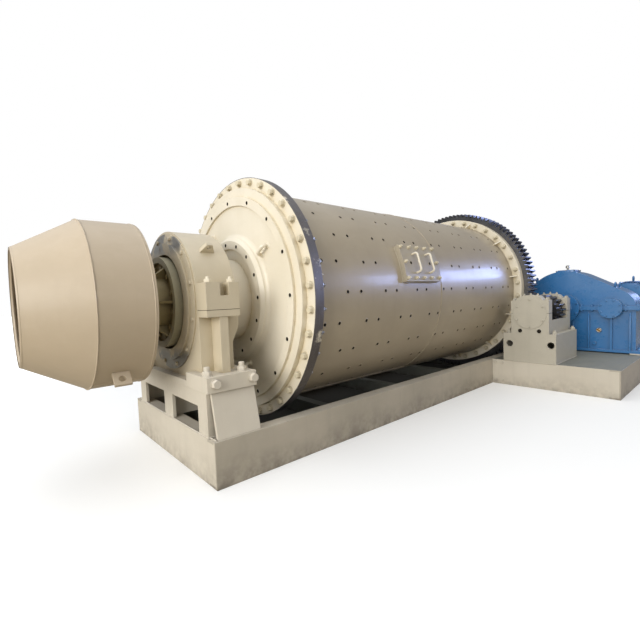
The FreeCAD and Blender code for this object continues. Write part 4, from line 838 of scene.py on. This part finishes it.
def makeStaples():
    values = staples
    parts = []
    turn = np.linspace(0, np.pi, 25)
    half = (values["outer"] - values["inner"]) / 2
    middle = (values["outer"] + values["inner"]) / 2
    reach = values["rise"] - values["rod"]
    # one leg up, a flattened half turn, and the other leg down
    bend = -half * np.sign(np.cos(turn)) * np.abs(np.cos(turn)) ** 0.55
    across = np.concatenate([[-half, -half], bend, [half, half]])
    out = np.concatenate([[-0.006, reach * 0.3], reach * (0.45 + 0.55 * np.sin(turn)),
                          [reach * 0.3, -0.006]])
    foot = [(-0.003, 0.021), (0.003, 0.0205), (0.009, 0.014), (0.013, 0.011)]
    for side in (-1, 1):
        root = side * (corners("shell")[1][0] + values["root"])
        for angle in values["angles"]:
            radial = aim(angle)[0]
            path = (millAxis + (middle + across)[:, None] * radial
                    + (root + side * out)[:, None] * xAxis)
            parts.append(sweptTube(path, values["rod"], 10, aside=np.cross(radial, xAxis)))
            for leg in (-half, half):
                place = millAxis + (middle + leg) * radial + root * xAxis
                parts.append(latheField(foot, place, (side, 0, 0), 14))
    piece = addPiece("headStaples", "mill_drum", "headCream", joined(parts))
    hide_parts("head_lifting_lugs")


makeStaples()


# a soft fillet between each hub and its head

hubFillet = {"width": 0.040, "rise": 0.026, "root": 0.0725}


def makeHubFillets():
    wide, rise = hubFillet["width"], hubFillet["rise"]
    hubRadius = corners("feed_trunnion")[1][1]
    arc = np.linspace(0, np.pi / 2, 9)
    curve = np.stack([rise * (1 - np.cos(arc)), hubRadius + wide * (1 - np.sin(arc))], -1)
    section = [(-0.003, hubRadius - 0.002), (-0.003, hubRadius + wide),
               *(tuple(row) for row in curve), (rise, hubRadius - 0.002)]
    reach = corners("shell")[1][0] + hubFillet["root"]
    parts = [latheField(section, millAxis + side * reach * xAxis, (side, 0, 0), 96, ring=True)
             for side in (-1, 1)]
    addPiece("hubFillets", "mill_drum", "headCream", joined(parts), sharp=50.0)


makeHubFillets()


# weld beads on the rotating drum

drumWelds = {"girth": 0.0042, "frame": 0.005, "feeder": 0.0045, "ring": 0.006, "seamX": -0.022,
             "inset": 0.04, "feedSeams": (118.0, -62.0), "driveSeams": (76.0, -104.0),
             "feederSeams": (150.0, -64.0), "coneSeams": (112.0, -112.0), "flangeInset": 0.0335,
             "neckInset": 0.0135, "neckRadius": 0.171, "mouthInset": 0.008, "mouthRadius": 0.307}
feederLip = ((0.0, 0.301), (0.0, 0.3065), (0.006, 0.311), (0.016, 0.311), (0.020, 0.306),
             (0.020, 0.294), (0.012, 0.290), (0.004, 0.294))


def seamBead(angle, start, stop, size):
    # a straight bead between two points, given as (x, radius), at one angle of the drum
    radial = aim(angle)[0]
    return weldBead([millAxis + radius * radial + x * xAxis for x, radius in (start, stop)], size)


def makeDrumWelds():
    values = drumWelds
    low, high = corners("shell")
    radius, seamX, size = high[1], values["seamX"], values["girth"]
    skin = radius + 0.0005
    girth = millAxis + skin * aim(np.arange(0.0, 360.0, 1.0)) + seamX * xAxis
    parts = [weldBead(girth, size, True)]
    parts += [seamBead(angle, (low[0] + values["inset"], skin), (seamX, skin), size)
              for angle in values["feedSeams"]]
    parts += [seamBead(angle, (seamX, skin), (high[0] - values["inset"], skin), size)
              for angle in values["driveSeams"]]
    parts += [weldBead(ringPath(side * (high[0] - values["flangeInset"]), radius + 0.002),
                       values["ring"], True) for side in (-1, 1)]
    addPiece("shellWelds", "mill_drum", "shellTaupe", joined(parts))
    frameLow, frameHigh = corners("manhole_frame")
    arc = millAxis + (radius + 0.002) * aim(np.linspace(*hatchAngles, 30))
    path = np.vstack([arc + (frameLow[0] - 0.002) * xAxis, arc[::-1] + (frameHigh[0] + 0.002) * xAxis])
    addPiece("manholeWeld", "mill_drum", "hatchTaupe", weldBead(path, values["frame"], True))
    (start, stop), coneX = corners("feeder_cylinder"), corners("feeder_cone")[0][0]
    outer, size = stop[1], values["feeder"]
    neckX = corners("feeder_neck")[0][0] + values["neckInset"]
    parts = [weldBead(ringPath(start[0], outer - 0.001), size, True),
             weldBead(ringPath(stop[0] - 0.002, outer - 0.002), size, True),
             weldBead(ringPath(neckX, values["neckRadius"]), values["ring"], True)]
    parts += [seamBead(angle, (start[0], outer), (stop[0], outer), size)
              for angle in values["feederSeams"]]
    mouth = (coneX + values["mouthInset"], values["mouthRadius"])
    parts += [seamBead(angle, (start[0], outer), mouth, size) for angle in values["coneSeams"]]
    addPiece("feederWelds", "mill_drum", "feederTaupe", joined(parts))
    # a rolled lip inside the mouth, flush with its end
    addPiece("feederLip", "mill_drum", "feederTaupe",
             latheField(feederLip, millAxis + coneX * xAxis, (1, 0, 0), 96, ring=True))


makeDrumWelds()
print("drum welds and staples made")


# trunnion ends: bolts in the feed pocket, tapped holes in the discharge pocket

pocket = {"count": 12, "phase": 15.0, "boltCircle": 0.213, "boltInset": 0.020, "corner": 0.0165,
          "head": 0.013, "holeCircle": 0.231, "holeInset": 0.040, "holeRadius": 0.009}


def makePocketFasteners():
    values = pocket
    angles = evenly(values["count"], values["phase"])
    face = corners("feeder_neck")[1][0] - values["boltInset"]
    addPiece("neckBolts", "mill_drum", "pocketOlive",
             latheField(hexBolt(values["corner"], values["head"], 0.003),
                        onCircle(face, values["boltCircle"], angles), (-1, 0, 0)))
    floorX = corners("discharge_trunnion")[1][0] - values["holeInset"]
    addHoles("pocket", "mill_drum", "sealSteel", onCircle(floorX, values["holeCircle"], angles),
             (1, 0, 0), values["holeRadius"], 0.003, 0.001)


makePocketFasteners()


# main bearings: ring bolts, ear studs, adjusting bolts and hold-down studs

bearing = {"ringCount": 12, "ringPhase": 15.0, "ringCircle": 0.400, "ringCorner": 0.0125,
           "outFace": 2.010, "inFace": 1.750, "earX": (1.963, 1.828), "earY": 0.505,
           "earRise": 0.151, "earCorner": 0.0205, "seamX": 1.8025, "seamY": 0.4405,
           "seamLength": 0.1999, "seamWidth": 0.1200, "adjustX": (2.006, 1.779),
           "adjustZ": 0.547, "adjustRadius": 0.029, "adjustCorner": 0.026,
           "holdX": (2.023, 1.813), "holdY": 0.560, "holdCorner": 0.026}


def makeBearingFasteners():
    values = bearing
    angles = evenly(values["ringCount"], values["ringPhase"])
    split = corners("feed_bearing_cap")[0][2]
    sole = corners("sole_plates")[1]
    ringBolt = hexBolt(values["ringCorner"], 0.008, 0.002)
    earNut = studNut(values["earCorner"], 0.018, 0.003, 0.011, 0.013)
    holdNut = studNut(values["holdCorner"], 0.022, 0.004, 0.0165, 0.024)
    disc, corner = values["adjustRadius"], values["adjustCorner"]
    adjuster = [(-0.003, disc), (0.004, disc), (0.004, corner, 1), (0.024, corner, 1), (0.028, 0.022)]
    long, wide = values["seamLength"], values["seamWidth"]
    rings, studs, adjusters, holders, seams = [], [], [], [], []
    for side in (-1, 1):
        for face, way in ((values["outFace"], side), (values["inFace"], -side)):
            rings.append(latheField(ringBolt, onCircle(side * face, values["ringCircle"], angles),
                                    (way, 0, 0)))
    for side, way in quarters:
        spots = mirrored(side, way, values["earX"], values["earY"], split + values["earRise"])
        studs.append(latheField(earNut, spots, (0, 0, 1)))
        seam = np.array([side * values["seamX"], way * values["seamY"], split - 0.0012])
        seams.append(prismField([(0, 0), (long, 0), (long, wide), (0, wide)], seam, (side, 0, 0),
                                (0, way, 0), zAxis, 0.0024))
        spots = mirrored(side, way, values["adjustX"], sole[1], values["adjustZ"])
        adjusters.append(latheField(adjuster, spots, (0, way, 0)))
        spots = mirrored(side, way, values["holdX"], values["holdY"], sole[2])
        holders.append(latheField(holdNut, spots, (0, 0, 1)))
    for name, finish, parts in (
            ("sealRingBolts", "bearingCream", rings), ("earSeams", "hollowDark", seams),
            ("earStuds", "headCream", studs), ("soleAdjusters", "beamCream", adjusters),
            ("soleStuds", "beamCream", holders)):
        addPiece(name, "plant", finish, joined(parts))


makeBearingFasteners()


# weld beads on the base frame and the stands

frameWelds = {"size": 0.0055, "brace": 0.8, "edge": 0.0035, "inner": 0.0032, "corner": 0.0045,
              "braceX": (1.773, 2.033), "braceY": 0.585, "innerInset": (0.09, 0.05),
              "boltSpots": ((0.032, 0.226), (0.032, 0.040), (0.098, 0.040), (0.098, 0.226))}


def footBead(node):
    # a bead round the foot of a box-shaped node
    low, high = corners(node)
    plan = ((low[0], low[1]), (high[0], low[1]), (high[0], high[1]), (low[0], high[1]))
    return weldBead([(x, y, low[2] + 0.001) for x, y in plan], frameWelds["size"], True)


def makeFrameWelds():
    values = frameWelds
    parts = [footBead(node) for node in ("feed_stand", "discharge_stand", "motor_pedestal")]
    top = corners("base_side_beams")[1]
    brace = corners("stand_braces")[1]
    for side, way in quarters:
        for x in values["braceX"]:
            start, stop = ((side * x, way * y, top[2] + 0.002) for y in (values["braceY"], brace[1]))
            parts.append(weldBead([start, stop], values["size"] * values["brace"]))
    deep, wide = values["innerInset"]
    for side, way in quarters:
        edge = np.array([side * (top[0] - 0.0005), way * (top[1] - 0.010), 0.0])
        parts.append(weldBead([edge + 0.004 * zAxis, edge + (top[2] - 0.004) * zAxis],
                              values["edge"]))
        inner = np.array([side * (top[0] - deep), way * (top[1] - wide), top[2] + 0.0005])
        parts.append(weldBead([inner, inner + side * 0.089 * xAxis], values["inner"]))
    # where the drive base meets the base: an upright bead and four bolts
    spliceX, spliceY = corners("drive_front_beam")[0][0], -top[1] - 0.0005
    parts.append(weldBead([(spliceX, spliceY, z) for z in (0.004, top[2] - 0.004)],
                          values["corner"]))
    spots = [(spliceX, spliceY - y, z) for y, z in values["boltSpots"]]
    parts.append(latheField(hexBolt(0.012, 0.009, 0.002), spots, (-1, 0, 0)))
    addPiece("frameWelds", "plant", "beamCream", joined(parts))
    addPiece("stationWelds", "plant", "stationGrey", footBead("pinion_stand"))


makeFrameWelds()
print("bearing and frame details made")


# girth gear: joint lugs and bolts where its two halves meet

gearJoint = {"angle": 64.0, "inner": 0.792, "outer": 0.843, "thick": 0.024, "depth": 0.085,
             "inset": 0.030, "chamfer": 0.018, "boltReach": 0.820, "boltX": (0.026, 0.062)}


def makeGearJoint():
    values = gearJoint
    start = corners("girth_gear")[0][0] + values["inset"]
    inner, outer, depth = values["inner"], values["outer"], values["depth"]
    outline = [(inner, 0.0), (outer, 0.0), (outer, depth), (inner + values["chamfer"], depth),
               (inner, depth * 0.6)]
    lugs, bolts = [], []
    for angle in (values["angle"], values["angle"] + 180.0):
        radial = aim(angle)[0]
        sideways = np.cross(xAxis, radial)
        for way in (-1, 1):
            origin = millAxis + start * xAxis + way * 0.001 * sideways
            lugs.append(prismField(outline, origin, radial, xAxis, way * sideways, values["thick"]))
            face = origin + way * values["thick"] * sideways
            spots = [face + values["boltReach"] * radial + x * xAxis for x in values["boltX"]]
            bolts.append(latheField(hexBolt(0.015, 0.012, 0.003), spots, way * sideways))
    addPiece("gearJointLugs", "mill_drum", "gearSteel", joined(lugs), bevel=0.003)
    addPiece("gearJointBolts", "mill_drum", "boltSteel", joined(bolts))


makeGearJoint()


# pinion station: cover screws, rims, cap and foot bolts

station = {"coverCircle": 0.134, "coverScrews": 6, "drainRadius": 0.0195, "drainReach": 0.087,
           "drainRise": 0.027, "holeRadius": 0.032, "holeReach": 0.189, "holeDrop": 0.075,
           "blockLength": 0.090, "shoulder": 0.149, "shoulderRise": 0.128,
           "shoulderX": (0.023, 0.067), "footReach": 0.208, "capReach": (-0.062, 0.0, 0.062),
           "capSlope": 0.075, "groove": (0.1515, 0.1560), "seamSize": (0.0912, 0.0024),
           "seamDepth": 0.020, "seamReach": 0.3272}


def makePinionStation():
    values = station
    blocks, covers = corners("pinion_bearing_blocks"), corners("pinion_shaft_covers")
    capTop = corners("pinion_bearing_caps")[1][2]
    stand = corners("pinion_stand")
    pinionY, pinionZ = pinionAxis[1:]
    frontX = covers[0][0]
    angles = evenly(values["coverScrews"], 30.0)
    screw = hexBolt(0.0095, 0.006, 0.0015)
    blockStarts = (blocks[0][0], blocks[1][0] - values["blockLength"])
    middle = values["blockLength"] / 2
    parts = [latheField(screw, onCircle(x, values["coverCircle"], angles, pinionAxis), (side, 0, 0))
             for x, side in ((frontX, -1), (covers[1][0], 1))]
    for blockX in blockStarts:
        for way in (-1, 1):
            spots = [(blockX + x, pinionY + way * values["shoulder"],
                      pinionZ + values["shoulderRise"]) for x in values["shoulderX"]]
            parts.append(latheField(studNut(0.0145, 0.012, 0.003, 0.008, 0.010), spots, (0, 0, 1)))
            foot = (blockX + middle, pinionY + way * values["footReach"], blocks[0][2])
            parts.append(latheField(studNut(0.021, 0.018, 0.004, 0.012, 0.014), foot, (0, 0, 1)))
        spots = [(blockX + middle, pinionY + y, capTop - 0.0005 - abs(y) * values["capSlope"])
                 for y in values["capReach"]]
        parts.append(latheField(studNut(0.0115, 0.009, 0.002, 0.006, 0.009), spots, (0, 0, 1)))
    addPiece("stationBolts", "plant", "stationGrey", joined(parts))
    drains = [(frontX + 0.004, pinionY + way * values["drainReach"],
               blocks[0][2] + values["drainRise"]) for way in (-1, 1)]
    addHoles("stationDrain", "plant", "stationGrey", drains, (-1, 0, 0), values["drainRadius"],
             0.006, 0.003, 24)
    spots = [(stand[0][0], pinionY + way * values["holeReach"], stand[1][2] - values["holeDrop"])
             for way in (-1, 1)]
    addPiece("stationRims", "plant", "stationGrey",
             latheField(holeRim(values["holeRadius"], 0.006, 0.002), spots, (-1, 0, 0), 28, ring=True))
    inner, outer = values["groove"]
    groove = [(-0.001, inner), (0.0008, inner), (0.0008, outer), (-0.001, outer)]
    addPiece("stationGroove", "plant", "stationGrey",
             latheField(groove, pinionAxis + (frontX + 0.004) * xAxis, (-1, 0, 0), 72, ring=True))
    # the split line of each block, a thin dark gap with a gasket edge
    long, tall = values["seamSize"]
    outline = [(0, 0), (long, 0), (long, tall), (0, tall)]
    seams = []
    for blockX in blockStarts:
        low = np.array([blockX - 0.0006, blocks[0][1] - 0.0006, pinionZ - 0.0012])
        for start in (low, low + values["seamReach"] * yAxis):
            seams.append(prismField(outline, start, xAxis, zAxis, yAxis, values["seamDepth"]))
    addPiece("stationSeams", "plant", "hollowDark", joined(seams))


makePinionStation()


# low-speed coupling bolts, turning with the pinion

couplingBolts = {"count": 8, "circle": 0.110, "corner": 0.0115, "head": 0.010, "disc": 0.038}


def makeCouplingBolts():
    values = couplingBolts
    low, high = corners("low_speed_coupling")
    middle = (low[0] + high[0]) / 2
    nut = studNut(values["corner"], values["head"], 0.002, 0.006, 0.008)
    parts = []
    for side in (-1, 1):
        places = onCircle(middle + side * values["disc"], values["circle"], evenly(values["count"]),
                          pinionAxis)
        parts.append(latheField(nut, places, (side, 0, 0)))
    addPiece("couplingBolts", "pinion_line", "boltSteel", joined(parts))


makeCouplingBolts()
print("gear and pinion details made")


# reducer: rim bolts, cover bolts, ribs, inspection cover, eyes, gauge, plugs

inputOffset = 0.451


def liftingRing(place, rise, radius):
    # an upright ring, its centre at the given rise above the place
    turn = np.radians(np.arange(0, 360, 10.0))[:, None]
    ring = place + rise * zAxis + radius * (np.cos(turn) * xAxis + np.sin(turn) * zAxis)
    return sweptTube(ring, 0.0085, 10, True, aside=(0, 1, 0))


reducer = {"rimPitch": 0.098, "rimInset": 0.0125, "rimRise": 0.022, "outputClear": 0.175,
           "inputClear": 0.115, "outputCircle": 0.146, "inputCircle": 0.088, "caseInset": 0.025,
           "footInset": (0.05, 0.022), "ribThick": 0.014, "gauge": (-0.34, 0.50),
           "plugs": (-0.30, 0.20), "plugZ": 0.352, "eyeInset": 0.09,
           "coverSize": (0.24, 0.20), "coverFace": 0.024, "eyes": ((0.30, 1.038), (-0.471, 0.944))}
# each rib's place across from the output shaft, and its top
reducerRibs = ((-0.10, 0.595), (0.10, 0.595), (-inputOffset, 0.625), (0.0, 0.570), (-0.25, 0.700),
               (0.26, 0.700), (-inputOffset - 0.16, 0.700))
breatherProfile = ((-0.002, 0.016, 1), (0.012, 0.016, 1), (0.013, 0.010), (0.026, 0.010),
                   (0.028, 0.021), (0.046, 0.022), (0.056, 0.018), (0.062, 0.008))
gaugeProfile = ((-0.002, 0.026), (0.010, 0.026), (0.014, 0.023), (0.014, 0.018), (0.006, 0.017),
                (-0.002, 0.017))


def makeReducer():
    values = reducer
    low, high = corners("reducer_upper_case")
    foot = corners("reducer_lower_case")
    pinionY, pinionZ = pinionAxis[1:]
    inputY = pinionY - inputOffset
    face, inset = values["coverFace"], values["caseInset"]
    bolts = []
    y = np.arange(low[1] + 0.030, high[1] - 0.020, values["rimPitch"])
    clear = ((np.abs(y - pinionY) > values["outputClear"])
             & (np.abs(y - inputY) > values["inputClear"]))
    rimNut, rimBolt = studNut(0.0135, 0.011, 0.002, 0.008, 0.008), hexBolt(0.0135, 0.010, 0.002)
    for x in (low[0] + values["rimInset"], high[0] - values["rimInset"]):
        for shape, way in ((rimNut, 1), (rimBolt, -1)):
            spots = [(x, step, pinionZ + way * values["rimRise"]) for step in y[clear]]
            bolts.append(latheField(shape, spots, (0, 0, way)))
    covers = corners("reducer_bearing_covers")
    angles = evenly(8, 22.5)
    output, entry = (np.array([0.0, across, pinionZ]) for across in (pinionY, inputY))
    screw = hexBolt(0.0115, 0.009, 0.002)
    small = hexBolt(0.009, 0.007, 0.0015)
    for shape, x, side, circle, centre in (
            (screw, low[0] - face, -1, values["outputCircle"], output),
            (screw, high[0] + face, 1, values["outputCircle"], output),
            (small, covers[0][0], -1, values["inputCircle"], entry),
            (small, high[0] + face, 1, values["inputCircle"], entry)):
        bolts.append(latheField(shape, onCircle(x, circle, angles, centre), (side, 0, 0)))
    footX, footY = values["footInset"]
    feet = [(x, y, foot[0][2] + 0.028) for x in (low[0] + footX, high[0] - footX)
            for y in (foot[0][1] + footY, foot[1][1] - footY)]
    bolts.append(latheField(studNut(0.019, 0.016, 0.003, 0.011, 0.012), feet, (0, 0, 1)))
    addPiece("reducerBolts", "plant", "reducerBlue", joined(bolts))
    ribs = []
    base = foot[0][2] + 0.026
    for x, side in ((low[0] + inset, -1), (high[0] - inset, 1)):
        for y, top in reducerRibs:
            outline = [(0.0, base), (0.024, base), (0.022, top - 0.03), (0.006, top), (0.0, top)]
            origin = np.array([x, pinionY + y - values["ribThick"] / 2, 0.0])
            ribs.append(prismField(outline, origin, side * xAxis, zAxis, yAxis, values["ribThick"]))
    addPiece("reducerRibs", "plant", "reducerBlue", joined(ribs), bevel=0.003)
    middle = np.array([(low[0] + high[0]) / 2, pinionY, high[2]])
    wide, deep = values["coverSize"]
    lid = [prismField(roundedBox(wide - less, deep - less, radius), middle + rise * zAxis, xAxis,
                      yAxis, zAxis, thick)
           for less, radius, rise, thick in ((0.0, 0.02, -0.014, 0.022), (0.03, 0.015, 0.006, 0.010))]
    addPiece("reducerInspectionCover", "plant", "reducerBlue", joined(lid), bevel=0.002)
    spots = [middle + np.array([a * (wide / 2 - 0.008), b * (deep / 2 - 0.008), 0.008])
             for a, b in ((-1, -1), (-1, 1), (1, -1), (1, 1), (0, -1), (0, 1), (-1, 0), (1, 0))]
    addPiece("reducerLidScrews", "plant", "boltSteel",
             latheField(hexBolt(0.007, 0.005), spots, (0, 0, 1)))
    addPiece("reducerBreather", "plant", "boltSteel",
             latheField(breatherProfile, middle + np.array([0.05, 0.02, 0.015]), (0, 0, 1), 24))
    gauge = np.array([low[0] + inset, pinionY + values["gauge"][0], values["gauge"][1]])
    addPiece("reducerGaugeRim", "plant", "turnedSteel",
             latheField(gaugeProfile, gauge, (-1, 0, 0), 32, ring=True))
    addPiece("reducerGaugeGlass", "plant", "gaugeGlass",
             latheField([(0.0, 0.0175), (0.007, 0.0175), (0.009, 0.014), (0.010, 0.006)], gauge,
                        (-1, 0, 0), 32))
    plug = [(x, pinionY + y, values["plugZ"])
            for x, y in zip((low[0] + inset, high[0] - inset), values["plugs"])]
    addPiece("reducerDrainPlugs", "plant", "reducerBlue",
             latheField(hexBolt(0.018, 0.014, 0.004), plug, [(-1, 0, 0), (1, 0, 0)]))
    eyes = []
    for y, z in values["eyes"]:
        for x in (low[0] + values["eyeInset"], high[0] - values["eyeInset"]):
            place = np.array([x, pinionY + y, z])
            eyes.append(latheField([(-0.03, 0.020), (0.004, 0.020), (0.010, 0.012), (0.018, 0.010)],
                                   place, (0, 0, 1), 16))
            eyes.append(liftingRing(place, 0.040, 0.026))
    addPiece("reducerEyes", "plant", "reducerBlue", joined(eyes))


makeReducer()


# motor: cooling fins, shield ribs and bolts, grille, lid, eyebolt, feet

motor = {"radius": 0.262, "finSpans": ((64.0, 219.0), (-36.0, -6.0)), "finPitch": 5.6,
         "finThick": 0.005, "finRise": 0.024, "finInset": 0.018, "grilleSpan": (0.045, 0.240),
         "grilleStep": 0.021, "shieldBolts": 8, "footReach": 0.245}
hubProfile = ((-0.002, 0.110), (0.010, 0.108), (0.014, 0.100), (0.014, 0.052), (0.020, 0.050),
              (0.020, 0.043))
glandProfile = ((-0.002, 0.026, 1), (0.012, 0.026, 1), (0.014, 0.020), (0.030, 0.020),
                (0.034, 0.024, 1), (0.048, 0.024, 1), (0.054, 0.018))


def makeMotor():
    values = motor
    low, high = corners("motor_frame")
    axis = np.array([0.0, pinionAxis[1] - inputOffset, pinionAxis[2]])
    radius = values["radius"]
    angles = np.concatenate([np.arange(*span, values["finPitch"]) for span in values["finSpans"]])
    radial = aim(angles)
    sideways = np.cross(xAxis, radial)
    half = values["finThick"] / 2
    outline = [(-half * 1.5, -0.008), (half * 1.5, -0.008), (half * 0.8, values["finRise"]),
               (-half * 0.8, values["finRise"])]
    start = low[0] + values["finInset"]
    fins = prismField(outline, axis + radius * radial + start * xAxis, sideways, radial, xAxis,
                      high[0] - low[0] - 2 * values["finInset"])
    addPiece("motorFins", "plant", "motorBlue", fins, bevel=0.001)
    shieldX = corners("motor_end_cover")[0][0]
    bolts = [latheField(hexBolt(*size), onCircle(x, circle, angles, axis), (-1, 0, 0))
             for size, x, circle, angles in (
                 ((0.011, 0.009, 0.002), shieldX, 0.228, evenly(values["shieldBolts"], 22.5)),
                 ((0.008, 0.006, 0.0015), shieldX - 0.014, 0.088, evenly(4, 45.0)))]
    ribs = []
    shape = [(0.105, 0.0), (0.205, 0.0), (0.195, 0.010), (0.105, 0.016)]
    for ray in aim(evenly(8, 45.0)):
        across = np.cross(xAxis, ray)
        ribs.append(prismField(shape, axis + shieldX * xAxis - 0.005 * across, ray, -xAxis, across,
                               0.010))
    hub = latheField(hubProfile, axis + shieldX * xAxis, (-1, 0, 0), 48)
    addPiece("motorShieldRibs", "plant", "motorBlue", joined(ribs + [hub]), bevel=0.002)
    feet = [(x, axis[1] + way * values["footReach"], low[2] + 0.032)
            for x in (low[0] + 0.06, high[0] - 0.06) for way in (-1, 1)]
    bolts.append(latheField(studNut(0.017, 0.014, 0.003, 0.010, 0.012), feet, (0, 0, 1)))
    addPiece("motorBolts", "plant", "motorBlue", joined(bolts))
    cowlEnd = axis + corners("motor_fan_cowl")[1][0] * xAxis
    # a near black disc behind the grille bars: painted shade for the inside of the cowl
    addPiece("motorGrilleShadeDisc", "plant", "hollowDark",
             latheField([(-0.002, 0.236), (0.001, 0.236)], cowlEnd, (1, 0, 0), 64))
    bars = []
    for reach in np.arange(*values["grilleSpan"], values["grilleStep"]):
        bars.append(latheField([(0.0, reach), (0.0045, reach + 0.001), (0.0055, reach + 0.004),
                                (0.0045, reach + 0.007), (0.0, reach + 0.008)],
                               cowlEnd, (1, 0, 0), 64, ring=True))
    spokes = aim(np.arange(0, 360, 45.0))
    bars.append(prismField([(0.03, -0.004), (0.238, -0.004), (0.238, 0.004), (0.03, 0.004)],
                           np.tile(cowlEnd, (8, 1)), spokes, np.cross(xAxis, spokes), xAxis, 0.0065))
    bars.append(latheField([(-0.001, 0.040), (0.007, 0.038), (0.009, 0.030)], cowlEnd, (1, 0, 0), 32))
    addPiece("motorGrille", "plant", "motorBlue", joined(bars))
    boxLow, boxHigh = corners("motor_terminal_box")
    middle = (boxLow + boxHigh) / 2
    wide, tall = boxHigh[0] - boxLow[0], boxHigh[2] - boxLow[2]
    face = np.array([middle[0], boxLow[1] + 0.022, middle[2]])
    lid = prismField(roundedBox(wide + 0.014, tall + 0.014, 0.018), face, xAxis, zAxis, -yAxis, 0.020)
    addPiece("motorTerminalLid", "plant", "motorBlue", lid, bevel=0.0025)
    glands = [(middle[0] + x, middle[1] + 0.01, boxLow[2]) for x in (-0.05, 0.05)]
    addPiece("motorGlands", "plant", "boltSteel", latheField(glandProfile, glands, (0, 0, -1), 12))
    place = np.array([(low[0] + high[0]) / 2, axis[1], axis[2] + radius])
    eye = [latheField([(-0.01, 0.030), (0.010, 0.030), (0.014, 0.016), (0.028, 0.012)], place,
                      (0, 0, 1), 20), liftingRing(place, 0.052, 0.028)]
    addPiece("motorEyebolt", "plant", "motorBlue", joined(eye))


makeMotor()


# coupling guard: a rolled edge at each end and bolts along its feet

guardTrim = {"edge": 0.0045, "endInset": 0.004, "boltX": 0.05, "boltY": 0.022}


def makeGuardTrim():
    values = guardTrim
    low, high = corners("coupling_guard")
    centre = np.array([0.0, (low[1] + high[1]) / 2, pinionAxis[2]])
    radius = high[2] - pinionAxis[2]
    turn = np.linspace(0, 180, 60)
    parts = []
    for x in (low[0] + values["endInset"], high[0] - values["endInset"]):
        arc = onCircle(x, radius - 0.001, turn, centre)
        path = np.vstack([[(x, arc[0][1], low[2] + 0.01)], arc, [(x, arc[-1][1], low[2] + 0.01)]])
        parts.append(sweptTube(path, values["edge"], 8, aside=(1, 0, 0)))
    addPiece("guardEdges", "plant", "guardCream", joined(parts))
    feet = [(x, y, low[2] + 0.005) for x in (low[0] + values["boltX"], high[0] - values["boltX"])
            for y in (low[1] + values["boltY"], high[1] - values["boltY"])]
    addPiece("guardBolts", "plant", "boltSteel",
             latheField(hexBolt(0.012, 0.009, 0.002), feet, (0, 0, 1)))


makeGuardTrim()
print("reducer, motor and guard details made")
